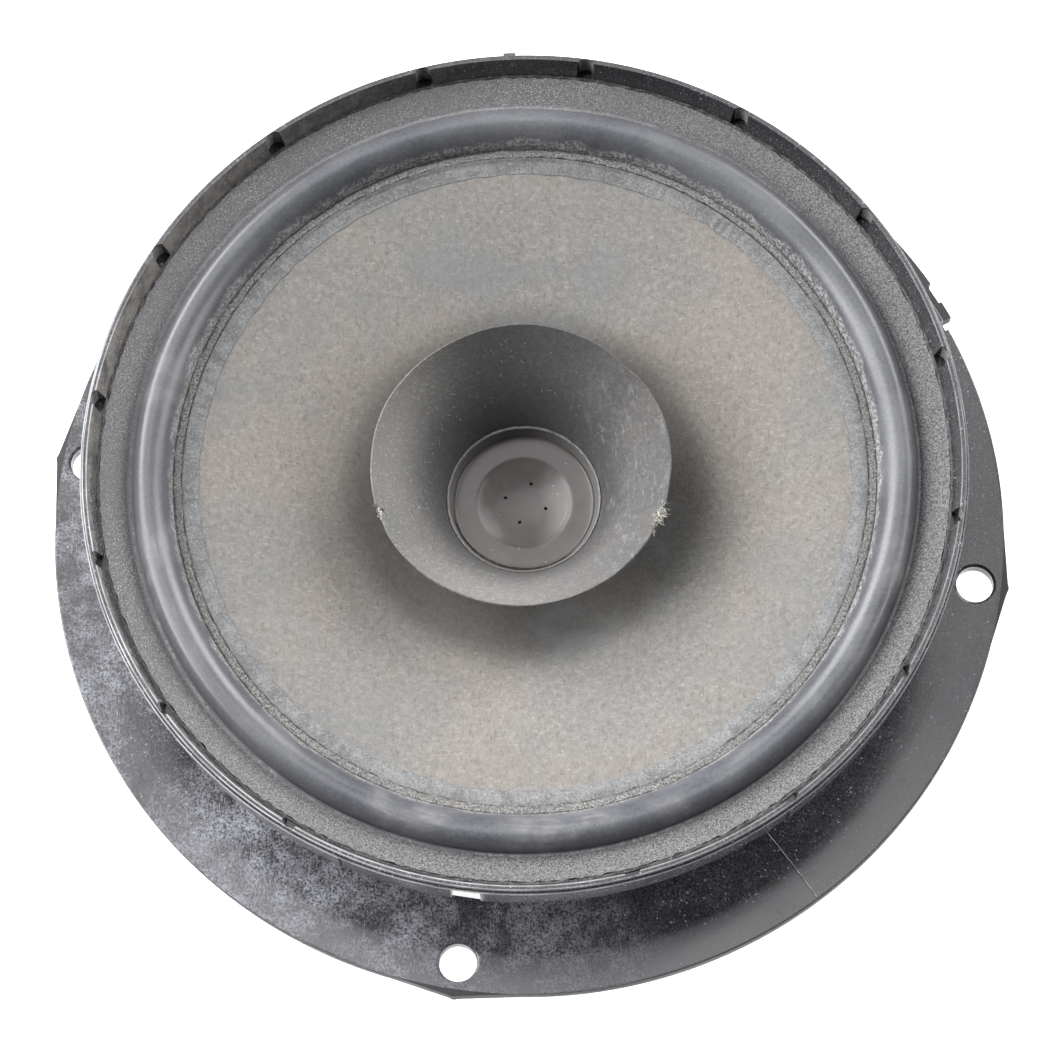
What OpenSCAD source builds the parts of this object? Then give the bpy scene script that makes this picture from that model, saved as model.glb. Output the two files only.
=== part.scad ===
// Dual-cone full-range car door speaker, 165 mm class.
// A tall moulded basket carries the cone; its mounting flange is set back behind the front rim.
// Millimetres. Origin: centre of the flange's rear face. +Z points out of the cone, to the listener.

/* [Basket] */
// Radius of the flat front rim
rim_r = 84; // [83.5:0.1:84.5]
// Height of the front rim above the rear face of the flange
rim_z = 44; // [43.5:0.1:46]
// Height of the skirt that hangs from the rim
skirt_h = 10.9; // [9:0.1:11.5]
// Outer radius of the body wall where it meets the flange
wall_r = 75; // [74.6:0.1:75]
// Thickness of the body wall and of the floor
wall_t = 2.4; // [2:0.1:2.6]
// Number of places round the rim for the half-round notches of its inner wall
notch_count = 16; // [12:1:18]
// Radius of one notch
notch_r = 1.75; // [1.2:0.05:1.8]
// Direction of the first notch, in degrees
notch_phase = 10; // [0:1:22]

/* [Flange] */
// Outer radius of the flange
flange_r = 95.7; // [95:0.1:98]
// Thickness of the flange
flange_t = 3.2; // [2.8:0.1:3.6]
// Radius of the bolt circle
bolt_circle_r = 90.4; // [90:0.1:91]
// Radius of one bolt hole
bolt_hole_r = 3.7; // [2.6:0.1:3.9]
// Radius that the four ears reach
ear_r = 97.2; // [96.9:0.1:98]
// Direction of the first bolt hole, in degrees
bolt_phase = -12.5; // [-14:0.1:-11]

/* [Cone assembly] */
// Radius of the cone's outer edge
cone_r = 67.4; // [67:0.1:67.5]
// Height of the cone's face at its outer edge
cone_edge_z = 34.0; // [33.6:0.1:34.2]
// Height of the cone's face at its neck
cone_neck_z = 18.6; // [18.2:0.1:19]
// Radius of the whizzer cone's mouth
whizzer_r = 28.6; // [26:0.1:30]
// Height of the whizzer cone's mouth
whizzer_z = 39.4; // [37:0.1:40]
// Outer radius of the surround's half-roll
roll_r = 75.8; // [75.6:0.1:75.8]
// Height of the roll above the line between its two feet
roll_h = 4.3; // [3.8:0.1:4.5]

/* [Motor] */
// Outer radius of the voice coil former
former_r = 12.85; // [12.8:0.01:12.86]
// Height of the copper winding
winding_h = 12; // [10:0.5:13]
// Radius of the magnet
magnet_r = 45; // [42:0.5:46]
// Thickness of the magnet
magnet_t = 15; // [12:0.5:18]
// Thickness of the top plate and of the back plate
plate_t = 5; // [4:0.5:6]

/* [Hidden] */
$fn = 96;

// Overlap that a cutting tool has past the face it cuts
eps = 0.5;

// Rim, ledge and skirt
rim_inner_r = rim_r - 1;            // inner edge of the flat rim
bead_r = rim_r + 0.5;               // fine bead just below the rim
ledge_outer_r = rim_r - 2.3;        // foot of the inner wall
ledge_outer_z = rim_z - 5.4;        // the ledge's surface at the foot of the inner wall
ledge_inner_r = roll_r + 0.1;       // the ledge's inner edge
ledge_inner_z = rim_z - 8.3;        // and its height there
skirt_z = rim_z - skirt_h;
skirt_t = 1.6;
slot_angle = -101.2;                // direction of the window through the skirt
slot_w = 5.4;
slot_top_z = rim_z - 1.9;
slot_flange_angle = -102.9;         // direction of the core hole below the window
slot_floor_z = ledge_outer_z - 1.4; // the window reaches in under the ledge below this height
skirt_rib_angles = [-118, -58, 62, 122, 180];
skirt_rib_w = 1;
nub_angle = 88;                     // moulding nub on the bead
nub_w = 2.4;

// Floor
floor_t = 3;
window_count = 6;
window_r_in = 52;
window_r_out = 70;
window_half_angle = 20;
seat_r_in = 45;                     // the spider's seat
seat_r_out = 50;
seat_z = 11.6;
floor_bore_r = 16;
rib_w = 1.8;
rib_h = 8;
motor_screw_r = 2;
screw_head_r = 3.8;
screw_head_h = 2.2;
screw_drive_w = 0.9;
screw_drive_l = 4.4;
motor_screw_circle_r = 34;
motor_screw_angles = [45, 135, 225, 315];

// Lug on the flange's edge: radius and span of its notch, its two teeth and the dip between them
lug_notch = [94.9, 100, 21.6, 22.9];
lug_steps = [[97.4, 22.9, 25.2], [96.8, 25.2, 27.9], [97.7, 27.9, 36]];

// Gasket groove
groove_r_in = 80;
groove_r_out = 86;
groove_d = 1.2;

// Cone and surround
cone_t = 0.7;
cone_neck_r = 15.4;
cone_edge_w = 1.6;                  // flat edge that the surround's lip is glued to
surround_t = 0.8;
roll_foot_in_r = 67.8;
lip_r = 66.05;                      // inner edge of the lip
roll_steps = 18;
glue_band_in_r = 63.4;

// Whizzer, dust cap and coil
neck_tube_r = former_r + 0.35;      // inside of the whizzer's neck tube
neck_tube_t = 0.8;
neck_tube_z = 15.2;
cap_z = 18.0;                       // top of the dust cap's rim
cap_r = 13.7;
neck_cup_r = cap_r + 0.2;            // inside of the neck where it widens round the dust cap
neck_cup_z = 16.8;
cap_fold_r = 9.5;
cap_sag = 1.9;
cap_t = 0.4;
neck_top_z = 21.4;
neck_top_r = 15.2;
whizzer_t = 0.6;
vent_r = 0.35;
vent_circle_r = 4.15;
vent_phase = 70;
former_t = 0.4;
collar_t = 0.3;
collar_z = 7.5;
winding_t = 0.5;
gap_z = -plate_t / 2;               // middle of the magnetic gap
winding_z = gap_z - winding_h / 2;
former_top_z = cap_z - cap_t;

// Spider
spider_t = 0.5;
spider_z = seat_z + spider_t / 2 + 0.1;
spider_waves = 6;
spider_in_r = 15.2;
spider_out_r = 44.2;
spider_amp = 1.3;
spider_steps = 42;

// Motor
gap_in = 0.45;                      // air between the former and the pole
gap_out = 0.55;                     // air between the winding and the top plate
pole_r = former_r - former_t - gap_in;
plate_bore_r = former_r + winding_t + gap_out;
top_plate_r = 42;
back_plate_r = 43;
magnet_bore_r = 21;
spigot_r = 8;
pole_top_z = 0.5;
magnet_top_z = -plate_t;
magnet_bottom_z = magnet_top_z - magnet_t;
motor_bottom_z = magnet_bottom_z - plate_t;

// Connector at the back of the floor, its socket opening towards +Y
conn_w = 20;
conn_y0 = 57;
conn_y1 = 78.5;
conn_z = -13;
conn_rib = 0.8;                     // guide ribs on the housing's two sides
boss_y1 = 64.5;
boss_half_w = 8;
boss_top_z = floor_t + 0.4;
socket_w = 15.6;
socket_y0 = 65.5;
socket_z0 = -11;
socket_z1 = -2.2;
key_w = 2;                          // keyway in the socket's roof
key_h = 1.2;
blade_w = 2.8;
blade_t = 0.8;
blade_x = 3.6;
blade_z = -6.6;
blade_y_leg = 60.6;
blade_y_tip = 71.5;
blade_top_z = 7.2;

// Tinsel leads: points on the positive lead's centre line; the other one mirrors it in X
lead_d = 1.1;
solder_r = 1.3;
solder_h = 0.9;
anchor_r = 1.15;
anchor_h = 0.6;
lead_route = [
  [3.6, 60.1, 6.2], [3.6, 58.6, 8.4], [3.7, 56.5, 10.9], [3.8, 54.0, 13.2], [3.9, 51.0, 15.1],
  [4.0, 47.5, 16.5], [4.1, 43.5, 17.4], [4.2, 39.0, 17.8], [4.3, 34.5, 17.7], [4.3, 30.0, 17.2],
  [4.2, 26.0, 16.4], [4.1, 22.0, 15.5], [3.9, 18.5, 14.7], [3.7, 15.6, 14.2], [3.5, 13.6, 14.0]
];

// ---------------------------------------------------------------- helpers

// A ring sector between two radii, two heights and two directions
module ring_sector(r1, r2, z1, z2, a1, a2) {
  rotate([0, 0, a1]) rotate_extrude(angle = a2 - a1)
    translate([r1, z1]) square([r2 - r1, z2 - z1]);
}

// A plain ring
module ring(r1, r2, z1, z2) {
  rotate_extrude() translate([r1, z1]) square([r2 - r1, z2 - z1]);
}

// A box given by its two corners
module box(a, b) {
  translate(a) cube([b[0] - a[0], b[1] - a[1], b[2] - a[2]]);
}

// Points of a shell section: the curve, then the same curve moved by d and read backwards
function reversed(p) = [for (i = [len(p) - 1:-1:0]) p[i]];
function moved(p, d) = [for (q = p) q + d];
function shell(p, d) = concat(p, reversed(moved(p, d)));

// Unit vector of v
function unit(v) = v / norm(v);

// A closed tube of n sides along a route that never runs straight up
module tube(route, r, n) {
  last = len(route) - 1;
  dirs = [for (i = [0:last]) unit(route[min(i + 1, last)] - route[max(i - 1, 0)])];
  points = [
    for (i = [0:last])
      let (side = [1, 0, 0], up = unit(cross(side, dirs[i])), out = cross(dirs[i], up))
        for (k = [0:n - 1]) route[i] + r * (cos(360 * k / n) * out + sin(360 * k / n) * up)
  ];
  walls = [
    for (i = [0:last - 1], k = [0:n - 1])
      [i * n + k, (i + 1) * n + k, (i + 1) * n + (k + 1) % n, i * n + (k + 1) % n]
  ];
  ends = [[for (k = [0:n - 1]) k], [for (k = [n - 1:-1:0]) last * n + k]];
  polyhedron(points = points, faces = concat(walls, ends), convexity = 4);
}

// ---------------------------------------------------------------- basket

// Section of the rim, ledge, skirt, body wall, flange and floor
module basket_section() {
  polygon([
    [rim_inner_r, rim_z], [rim_r, rim_z], [rim_r, rim_z - 0.8],
    [bead_r, rim_z - 1.2], [bead_r, rim_z - 1.7], [rim_r, rim_z - 2.1],
    [rim_r, skirt_z], [rim_r - skirt_t, skirt_z], [rim_r - skirt_t, ledge_outer_z - 2.4],
    [ledge_inner_r + 2, ledge_inner_z - 2.4], [wall_r + 0.4, rim_z - 14], [wall_r, flange_t],
    [flange_r - 0.4, flange_t], [flange_r, flange_t - 0.4],
    [flange_r, 0], [floor_bore_r, 0], [floor_bore_r, floor_t], [wall_r - wall_t - 1.5, floor_t],
    [wall_r - wall_t, floor_t + 1.5], [wall_r - wall_t + 0.3, rim_z - 18],
    [ledge_inner_r - 0.3, rim_z - 12.5], [ledge_inner_r, ledge_inner_z],
    [ledge_outer_r, ledge_outer_z]
  ]);
}

// Straight-sided ear whose edges run on just inside the flange's own edge
module flange_ear() {
  base_r = flange_r - 0.15;
  half = acos(base_r / ear_r);
  tangent = [base_r * cos(half), base_r * sin(half)];
  linear_extrude(height = flange_t)
    polygon([[88, -tangent[1]], [tangent[0], -tangent[1]], [ear_r, 0], tangent, [88, tangent[1]]]);
}

// Toothed lug that stands out of the flange's edge
module flange_lug() {
  root_r = flange_r - 2;
  teeth = [
    for (s = lug_steps, i = [0:4]) let (a = s[1] + (s[2] - s[1]) * i / 4) s[0] * [cos(a), sin(a)]
  ];
  ends = [lug_steps[2][2], lug_steps[0][1]];
  translate([0, 0, 0.2]) linear_extrude(height = flange_t - 0.45)
    polygon(concat(teeth, [for (a = ends) root_r * [cos(a), sin(a)]]));
}

module bolt_hole() {
  translate([bolt_circle_r, 0, -eps]) cylinder(r = bolt_hole_r, h = flange_t + 2 * eps);
  translate([bolt_circle_r, 0, flange_t - 0.35])
    cylinder(r1 = bolt_hole_r, r2 = bolt_hole_r + 0.35 + eps, h = 0.35 + eps);
}

module rim_notch() {
  translate([rim_r - notch_r - 0.15, 0, ledge_outer_z + 0.2]) cylinder(r = notch_r, h = rim_z);
}

module floor_window() {
  ring_sector(window_r_in, window_r_out, -eps, floor_t + eps, -window_half_angle, window_half_angle);
}

// Stiffening ribs on both sides of each window, from the spider's seat to the wall
module floor_rib(angle) {
  rotate([0, 0, angle])
    box([seat_r_out - 1, -rib_w / 2, 0], [wall_r - wall_t + 0.2, rib_w / 2, rib_h]);
}

// Window through the skirt: shallow beside the inner wall, deeper under the ledge
module skirt_slot() {
  outer = bead_r + 1;
  box([rim_inner_r, -slot_w / 2, skirt_z], [outer, slot_w / 2, slot_top_z]);
  box([ledge_outer_r + 0.15, -slot_w / 2, skirt_z - 1], [outer, slot_w / 2, slot_floor_z]);
}

module basket() {
  slot_index = round((360 + slot_angle - notch_phase) * notch_count / 360);
  window_step = 360 / window_count;
  color("#26272b") difference() {
    union() {
      rotate_extrude() basket_section();
      ring(seat_r_in, seat_r_out, 0, seat_z);
      for (k = [0:3]) rotate([0, 0, bolt_phase + 90 * k]) flange_ear();
      flange_lug();
      for (a = skirt_rib_angles) rotate([0, 0, a])
        box([rim_r - 1, -skirt_rib_w / 2, skirt_z], [rim_r + 0.35, skirt_rib_w / 2, rim_z - 2]);
      rotate([0, 0, nub_angle])
        box([rim_r - 0.6, -nub_w / 2, rim_z - 3], [bead_r + 0.5, nub_w / 2, rim_z - 1]);
      for (k = [0:window_count - 1], side = [-1, 1])
        floor_rib(window_step * k + side * (window_half_angle + 1.6));
    }
    for (k = [0:3]) rotate([0, 0, bolt_phase + 90 * k]) bolt_hole();
    for (k = [0:notch_count - 1]) if (k != slot_index)
      rotate([0, 0, notch_phase + 360 * k / notch_count]) rim_notch();
    for (k = [0:window_count - 1]) rotate([0, 0, window_step * k]) floor_window();
    rotate([0, 0, slot_angle]) skirt_slot();
    rotate([0, 0, slot_flange_angle])
      box([wall_r + 0.1, -slot_w / 2 - 0.5, -eps], [wall_r + 2.5, slot_w / 2 + 0.5, flange_t + eps]);
    ring_sector(lug_notch[0], lug_notch[1], -eps, flange_t + eps, lug_notch[2], lug_notch[3]);
    ring(groove_r_in, groove_r_out, -eps, groove_d);
    for (a = motor_screw_angles) rotate([0, 0, a])
      translate([motor_screw_circle_r, 0, -eps]) cylinder(r = motor_screw_r + 0.2, h = floor_t + 2 * eps);
    box([-boss_half_w - 0.1, conn_y0 - 0.1, -eps], [boss_half_w + 0.1, boss_y1 + 0.1, floor_t + eps]);
  }
}

module flange_gasket() {
  color("#3a3b3c") ring(groove_r_in, groove_r_out, 0, groove_d);
}

// ---------------------------------------------------------------- surround and cone

// Height of the ledge at radius r
function ledge_at(r) =
  ledge_inner_z + (ledge_outer_z - ledge_inner_z) * (r - ledge_inner_r) / (ledge_outer_r - ledge_inner_r);

// The surround's centre curve over the roll: an arch between its two feet
roll_foot_out = [roll_r - 0.4, ledge_at(roll_r) + surround_t / 2];
roll_foot_in = [roll_foot_in_r, cone_edge_z + surround_t / 2];
function roll_point(t) =
  roll_foot_out + (roll_foot_in - roll_foot_out) * (1 - cos(180 * t)) / 2 + [0, roll_h * sin(180 * t)];

band_r_out = ledge_outer_r - 0.35;
module surround() {
  top = concat(
    [[band_r_out, ledge_at(band_r_out) + surround_t]],
    [for (i = [0:roll_steps]) roll_point(i / roll_steps) + [0, surround_t / 2]],
    [[lip_r, cone_edge_z + surround_t]]
  );
  color("#4a4e55") rotate_extrude() polygon(shell(top, [0, -surround_t]));
}

module surround_adhesive() {
  color("#8d8a80") rotate_extrude() polygon([
    [band_r_out, ledge_at(band_r_out)], [ledge_outer_r, ledge_outer_z],
    [ledge_outer_r + 0.2, ledge_outer_z + 0.9], [band_r_out, ledge_at(band_r_out) + surround_t]
  ]);
}

// Height of the cone's face: steep at the neck, flatter towards the edge
cone_curve_r = cone_r - cone_edge_w;
function cone_at(r) =
  let (t = (r - cone_neck_r) / (cone_curve_r - cone_neck_r))
    cone_neck_z + (cone_edge_z - cone_neck_z) * (1 - pow(1 - t, 1.3));

module cone() {
  steps = 14;
  face = concat(
    [for (i = [0:steps]) let (r = cone_neck_r + (cone_curve_r - cone_neck_r) * i / steps) [r, cone_at(r)]],
    [[cone_r, cone_edge_z]]
  );
  color("#8f8a84") rotate_extrude() polygon(shell(face, [0, -cone_t]));
}

module cone_edge_adhesive() {
  mid_r = (glue_band_in_r + lip_r) / 2;
  color("#8e9398") rotate_extrude() polygon([
    [glue_band_in_r, cone_at(glue_band_in_r)], [mid_r, cone_at(mid_r)],
    [cone_curve_r, cone_edge_z], [lip_r, cone_edge_z], [lip_r, cone_edge_z + 0.35],
    [mid_r, cone_at(mid_r) + 0.3], [glue_band_in_r + 0.3, cone_at(glue_band_in_r + 0.3) + 0.15]
  ]);
}

module cone_neck_adhesive() {
  tube_r = neck_cup_r + neck_tube_t;
  color("#5b554c") rotate_extrude() polygon([
    [tube_r, cone_neck_z - cone_t], [cone_neck_r, cone_neck_z - cone_t],
    [cone_neck_r, cone_neck_z], [tube_r, cone_neck_z + 0.8]
  ]);
}

// The whizzer: a neck tube that widens round the dust cap, then a flare out to the mouth
module whizzer_cone() {
  steps = 10;
  flare = [
    for (i = [0:steps]) let (t = i / steps)
      [neck_top_r + (whizzer_r - neck_top_r) * pow(t, 1.22), neck_top_z + (whizzer_z - neck_top_z) * t]
  ];
  color("#77787a") rotate_extrude() polygon(concat(
    [[neck_tube_r, neck_tube_z], [neck_tube_r, neck_cup_z - 0.3], [neck_cup_r, neck_cup_z + 0.4]],
    [[neck_cup_r, cap_z + 0.2], [neck_top_r - 0.3, neck_top_z - 0.3]],
    flare,
    reversed([for (i = [1:steps]) flare[i] + [0.25, -whizzer_t]]),
    [[neck_top_r + 0.05, neck_top_z - 1.2], [neck_cup_r + neck_tube_t, neck_top_z - 1.8]],
    [[neck_cup_r + neck_tube_t, neck_cup_z], [neck_tube_r + neck_tube_t, neck_cup_z - 0.7]],
    [[neck_tube_r + neck_tube_t, neck_tube_z]]
  ));
}

module neck_adhesive() {
  color("#b5b5b0") rotate_extrude() polygon([
    [neck_top_r - 0.3, neck_top_z - 0.3], [neck_top_r - 0.55, neck_top_z - 0.25],
    [neck_top_r - 0.5, neck_top_z + 0.15], [neck_top_r - 0.15, neck_top_z + 0.3],
    [neck_top_r, neck_top_z]
  ]);
}

// Shallow dish inside a flat rim, with four vent holes
module dust_cap() {
  steps = 6;
  dish = [
    for (i = [0:steps]) let (r = cap_fold_r * i / steps)
      [r, cap_z - cap_sag * (1 - pow(r / cap_fold_r, 2))]
  ];
  color("#6d6866") difference() {
    rotate_extrude() polygon(shell(concat(dish, [[cap_r, cap_z]]), [0, -cap_t]));
    for (k = [0:3]) rotate([0, 0, vent_phase + 90 * k])
      translate([vent_circle_r, 0, cap_z - cap_sag - 2]) cylinder(r = vent_r, h = 4, $fn = 24);
  }
}

// ---------------------------------------------------------------- coil and spider

module voice_coil_former() {
  color("#b08d57") ring(former_r - former_t, former_r, winding_z, former_top_z);
}

module former_collar() {
  color("#8a6f4a") ring(former_r, former_r + collar_t, collar_z, neck_tube_z);
}

module voice_coil() {
  color("#b5651d") ring(former_r, former_r + winding_t, winding_z, winding_z + winding_h);
}

// The winding's two ends, which run up the former and over its collar to the leads
module coil_tails() {
  low_z = winding_z + winding_h;
  color("#b5651d") for (side = [-1, 1]) rotate([0, 0, 90 + side * 22]) {
    box([former_r, -0.2, low_z], [former_r + 0.3, 0.2, collar_z]);
    box([former_r + collar_t, -0.2, collar_z - 0.3], [former_r + collar_t + 0.25, 0.2, 11]);
  }
}

function spider_wave(r) =
  spider_amp * sin(360 * spider_waves * (r - spider_in_r) / (spider_out_r - spider_in_r));

module spider() {
  collar_r = former_r + collar_t;
  face = concat(
    [[collar_r, spider_z + 0.4], [spider_in_r - 0.8, spider_z + 0.4]],
    [for (i = [0:spider_steps]) let (r = spider_in_r + (spider_out_r - spider_in_r) * i / spider_steps)
      [r, spider_z + spider_wave(r)]],
    [[seat_r_out - 0.4, spider_z]]
  );
  color("#a8924a") rotate_extrude() polygon(shell(moved(face, [0, spider_t / 2]), [0, -spider_t]));
}

module spider_adhesive() {
  color("#3c3a36") ring(seat_r_in + 0.5, seat_r_out - 0.4, seat_z, spider_z - spider_t / 2);
}

// ---------------------------------------------------------------- motor

module motor_screw_bores(r, z1, z2) {
  for (a = motor_screw_angles) rotate([0, 0, a])
    translate([motor_screw_circle_r, 0, z1]) cylinder(r = r, h = z2 - z1);
}

module top_plate() {
  color("#8b8d8f") difference() {
    ring(plate_bore_r, top_plate_r, -plate_t, 0);
    motor_screw_bores(motor_screw_r, -plate_t - eps, eps);
  }
}

module magnet() {
  color("#303134") ring(magnet_bore_r, magnet_r, magnet_bottom_z, magnet_top_z);
}

module back_plate() {
  color("#8b8d8f") rotate_extrude() polygon([
    [spigot_r, magnet_bottom_z], [back_plate_r, magnet_bottom_z], [back_plate_r, motor_bottom_z + 1],
    [back_plate_r - 1, motor_bottom_z], [spigot_r, motor_bottom_z]
  ]);
}

module pole_piece() {
  color("#97999b") {
    translate([0, 0, magnet_bottom_z]) cylinder(r = pole_r, h = pole_top_z - magnet_bottom_z);
    translate([0, 0, motor_bottom_z]) cylinder(r = spigot_r, h = plate_t);
  }
}

// Pan-head screws from the front of the floor into the top plate
module motor_screws() {
  color("#a9abae") for (a = motor_screw_angles) rotate([0, 0, a]) translate([motor_screw_circle_r, 0, 0]) {
    difference() {
      translate([0, 0, floor_t]) cylinder(r = screw_head_r, h = screw_head_h);
      for (turn = [0, 90]) rotate([0, 0, turn]) box(
        [-screw_drive_l / 2, -screw_drive_w / 2, floor_t + screw_head_h / 2],
        [screw_drive_l / 2, screw_drive_w / 2, floor_t + screw_head_h + eps]
      );
    }
    translate([0, 0, -plate_t + 0.5]) cylinder(r = motor_screw_r, h = plate_t + floor_t - 0.5);
  }
}

// ---------------------------------------------------------------- connector and leads

// One blade's two legs, used as the metal and as the slot that it fills
module blade(side) {
  x0 = side * blade_x - blade_w / 2;
  box([x0, blade_y_leg, blade_z - blade_t / 2], [x0 + blade_w, blade_y_tip, blade_z + blade_t / 2]);
  box([x0, blade_y_leg, blade_z - blade_t / 2], [x0 + blade_w, blade_y_leg + blade_t, blade_top_z]);
}

module connector_housing() {
  color("#2e3034") difference() {
    union() {
      box([-conn_w / 2, conn_y0, conn_z], [conn_w / 2, conn_y1, 0]);
      box([-boss_half_w, conn_y0, -0.1], [boss_half_w, boss_y1, boss_top_z]);
      for (side = [-1, 1]) box(
        [side * conn_w / 2 - conn_rib, conn_y1 - 5, conn_z - conn_rib],
        [side * conn_w / 2 + conn_rib, conn_y1, -3]
      );
    }
    box([-socket_w / 2, socket_y0, socket_z0], [socket_w / 2, conn_y1 + eps, socket_z1]);
    box([-key_w / 2, socket_y0 + 4, socket_z1 - 0.1], [key_w / 2, conn_y1 + eps, socket_z1 + key_h]);
    for (side = [-1, 1]) blade(side);
  }
}

module terminal_positive() {
  color("#c9a227") blade(1);
}

module terminal_negative() {
  color("#c9a227") blade(-1);
}

module tinsel_lead_positive() {
  color("#b9b4a8") tube(lead_route, lead_d / 2, 8);
}

module tinsel_lead_negative() {
  color("#b9b4a8") mirror([1, 0, 0]) tube(lead_route, lead_d / 2, 8);
}

// Solder beads that hold each lead's first end to its blade's leg
module lead_solder_joints() {
  start = lead_route[0];
  color("#c4c6c8") for (side = [-1, 1])
    translate([side * start[0], blade_y_leg, start[2]]) rotate([90, 0, 0])
      cylinder(r1 = solder_r, r2 = solder_r - 0.4, h = solder_h);
}

// Glue beads on the collar, just under each lead's moving end
module lead_anchor_beads() {
  end = lead_route[len(lead_route) - 1];
  color("#4b4337") difference() {
    for (side = [-1, 1]) translate([side * end[0], end[1], end[2] - lead_d / 2 - anchor_h - 0.05])
      cylinder(r = anchor_r, h = anchor_h);
    cylinder(r = former_r + collar_t, h = whizzer_z);
  }
}

basket();
flange_gasket();
surround_adhesive();
surround();
cone_edge_adhesive();
cone();
cone_neck_adhesive();
whizzer_cone();
neck_adhesive();
dust_cap();
voice_coil_former();
former_collar();
voice_coil();
coil_tails();
spider();
spider_adhesive();
top_plate();
magnet();
back_plate();
pole_piece();
motor_screws();
connector_housing();
terminal_positive();
terminal_negative();
tinsel_lead_positive();
tinsel_lead_negative();
lead_solder_joints();
lead_anchor_beads();
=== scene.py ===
"""A car door speaker on a white table: full look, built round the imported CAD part.

Lengths in the tables below are millimetres in the part's own frame; meshes are made in metres.
"""

import math
from functools import reduce

import bmesh
import bpy
import numpy as np
from mathutils import Matrix, Vector


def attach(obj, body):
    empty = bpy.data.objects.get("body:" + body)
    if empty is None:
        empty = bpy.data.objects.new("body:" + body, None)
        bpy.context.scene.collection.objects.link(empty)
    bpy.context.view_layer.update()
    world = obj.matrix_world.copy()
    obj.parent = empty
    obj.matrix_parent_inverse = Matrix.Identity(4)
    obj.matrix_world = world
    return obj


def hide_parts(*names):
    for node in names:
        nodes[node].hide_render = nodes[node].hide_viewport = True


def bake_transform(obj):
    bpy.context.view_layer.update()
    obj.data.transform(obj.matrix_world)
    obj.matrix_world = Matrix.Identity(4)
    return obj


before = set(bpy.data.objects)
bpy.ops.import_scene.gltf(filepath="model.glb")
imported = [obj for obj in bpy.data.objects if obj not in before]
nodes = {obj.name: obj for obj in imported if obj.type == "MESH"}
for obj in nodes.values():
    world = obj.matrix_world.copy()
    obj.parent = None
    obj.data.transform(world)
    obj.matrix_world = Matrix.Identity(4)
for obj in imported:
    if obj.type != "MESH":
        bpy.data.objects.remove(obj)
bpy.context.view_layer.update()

MM = 0.001
TURN = 2 * math.pi
scene = bpy.context.scene


# ---- mesh helpers


def add_object(name, verts, faces):
    """A mesh object from millimetre points, with its normals facing out."""
    mesh = bpy.data.meshes.new(name)
    mesh.from_pydata((np.asarray(verts, float) * MM).tolist(), [], [list(f) for f in faces])
    bm = bmesh.new()
    bm.from_mesh(mesh)
    bmesh.ops.remove_doubles(bm, verts=bm.verts, dist=1e-6)
    bmesh.ops.dissolve_degenerate(bm, edges=bm.edges, dist=1e-7)
    bmesh.ops.recalc_face_normals(bm, faces=bm.faces)
    bm.to_mesh(mesh)
    bm.free()
    obj = bpy.data.objects.new(name, mesh)
    scene.collection.objects.link(obj)
    return obj


def smooth(obj, degrees=35):
    """Smooth shading that keeps edges sharper than the angle."""
    mesh = obj.data
    mesh.shade_smooth()
    mesh.set_sharp_from_angle(angle=math.radians(degrees))
    return obj


def fillet(points, radius, steps=4):
    """A closed section with its corners rounded; radius is one number or one per corner."""
    out = []
    for i, point in enumerate(points):
        r = radius[i] if isinstance(radius, (list, tuple)) else radius
        here = Vector(point)
        back = Vector(points[i - 1]) - here
        ahead = Vector(points[(i + 1) % len(points)]) - here
        if r <= 0:
            out.append(tuple(here))
            continue
        reach = min(r / math.tan(back.angle(ahead) / 2), back.length * 0.45, ahead.length * 0.45)
        start = here + back.normalized() * reach
        end = here + ahead.normalized() * reach
        for k in range(steps + 1):
            t = k / steps
            out.append(tuple(start * (1 - t) ** 2 + here * 2 * t * (1 - t) + end * t * t))
    return out


def sheet(line, thickness):
    """The closed section of a thin sheet with this middle line."""
    half = thickness / 2
    return [(r, z + half) for r, z in line] + [(r, z - half) for r, z in line[::-1]]


def densify(section, step):
    """A closed section with no stretch longer than step."""
    out = []
    for i, point in enumerate(section):
        a = np.array(point, float)
        b = np.array(section[(i + 1) % len(section)], float)
        parts = max(1, int(math.ceil(np.linalg.norm(b - a) / step)))
        out.extend(tuple(a + (b - a) * k / parts) for k in range(parts))
    return out


def lathe_data(section, count, shape=None, centre=(0, 0)):
    """Points and faces of a closed section turned about an upright axis."""
    sec = np.array(section, float)
    phi = (np.arange(count) * TURN / count)[:, None]
    r = np.repeat(sec[None, :, 0], count, 0)
    z = np.repeat(sec[None, :, 1], count, 0)
    if shape:
        r, z = shape(r, phi, z)
    points = np.stack([centre[0] + r * np.cos(phi), centre[1] + r * np.sin(phi), z], -1).reshape(-1, 3)
    m = len(sec)
    i = np.arange(count)[:, None]
    j = np.arange(m)[None, :]
    k = (i + 1) % count
    n = (j + 1) % m
    quads = np.stack([i * m + j, k * m + j, k * m + n, i * m + n], -1).reshape(-1, 4)
    return points, quads.tolist()


def lathe(name, section, count=720, shape=None):
    """A ring or disc of a closed section, which shape(r, phi, z) may then disturb."""
    return smooth(add_object(name, *lathe_data(section, count, shape)))


def prism_data(outline, z0, z1):
    """Points and faces of an outline pulled up from z0 to z1."""
    n = len(outline)
    points = [(x, y, z) for z in (z0, z1) for x, y in outline]
    faces = [[i, (i + 1) % n, n + (i + 1) % n, n + i] for i in range(n)]
    return np.array(points, float), faces + [list(range(n))[::-1], list(range(n, 2 * n))]


def gather(name, parts):
    """One object from several (points, faces) pairs."""
    points, faces, base = [], [], 0
    for p, f in parts:
        points.append(np.asarray(p, float))
        faces.extend([[base + k for k in q] for q in f])
        base += len(p)
    return add_object(name, np.vstack(points), faces)


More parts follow.
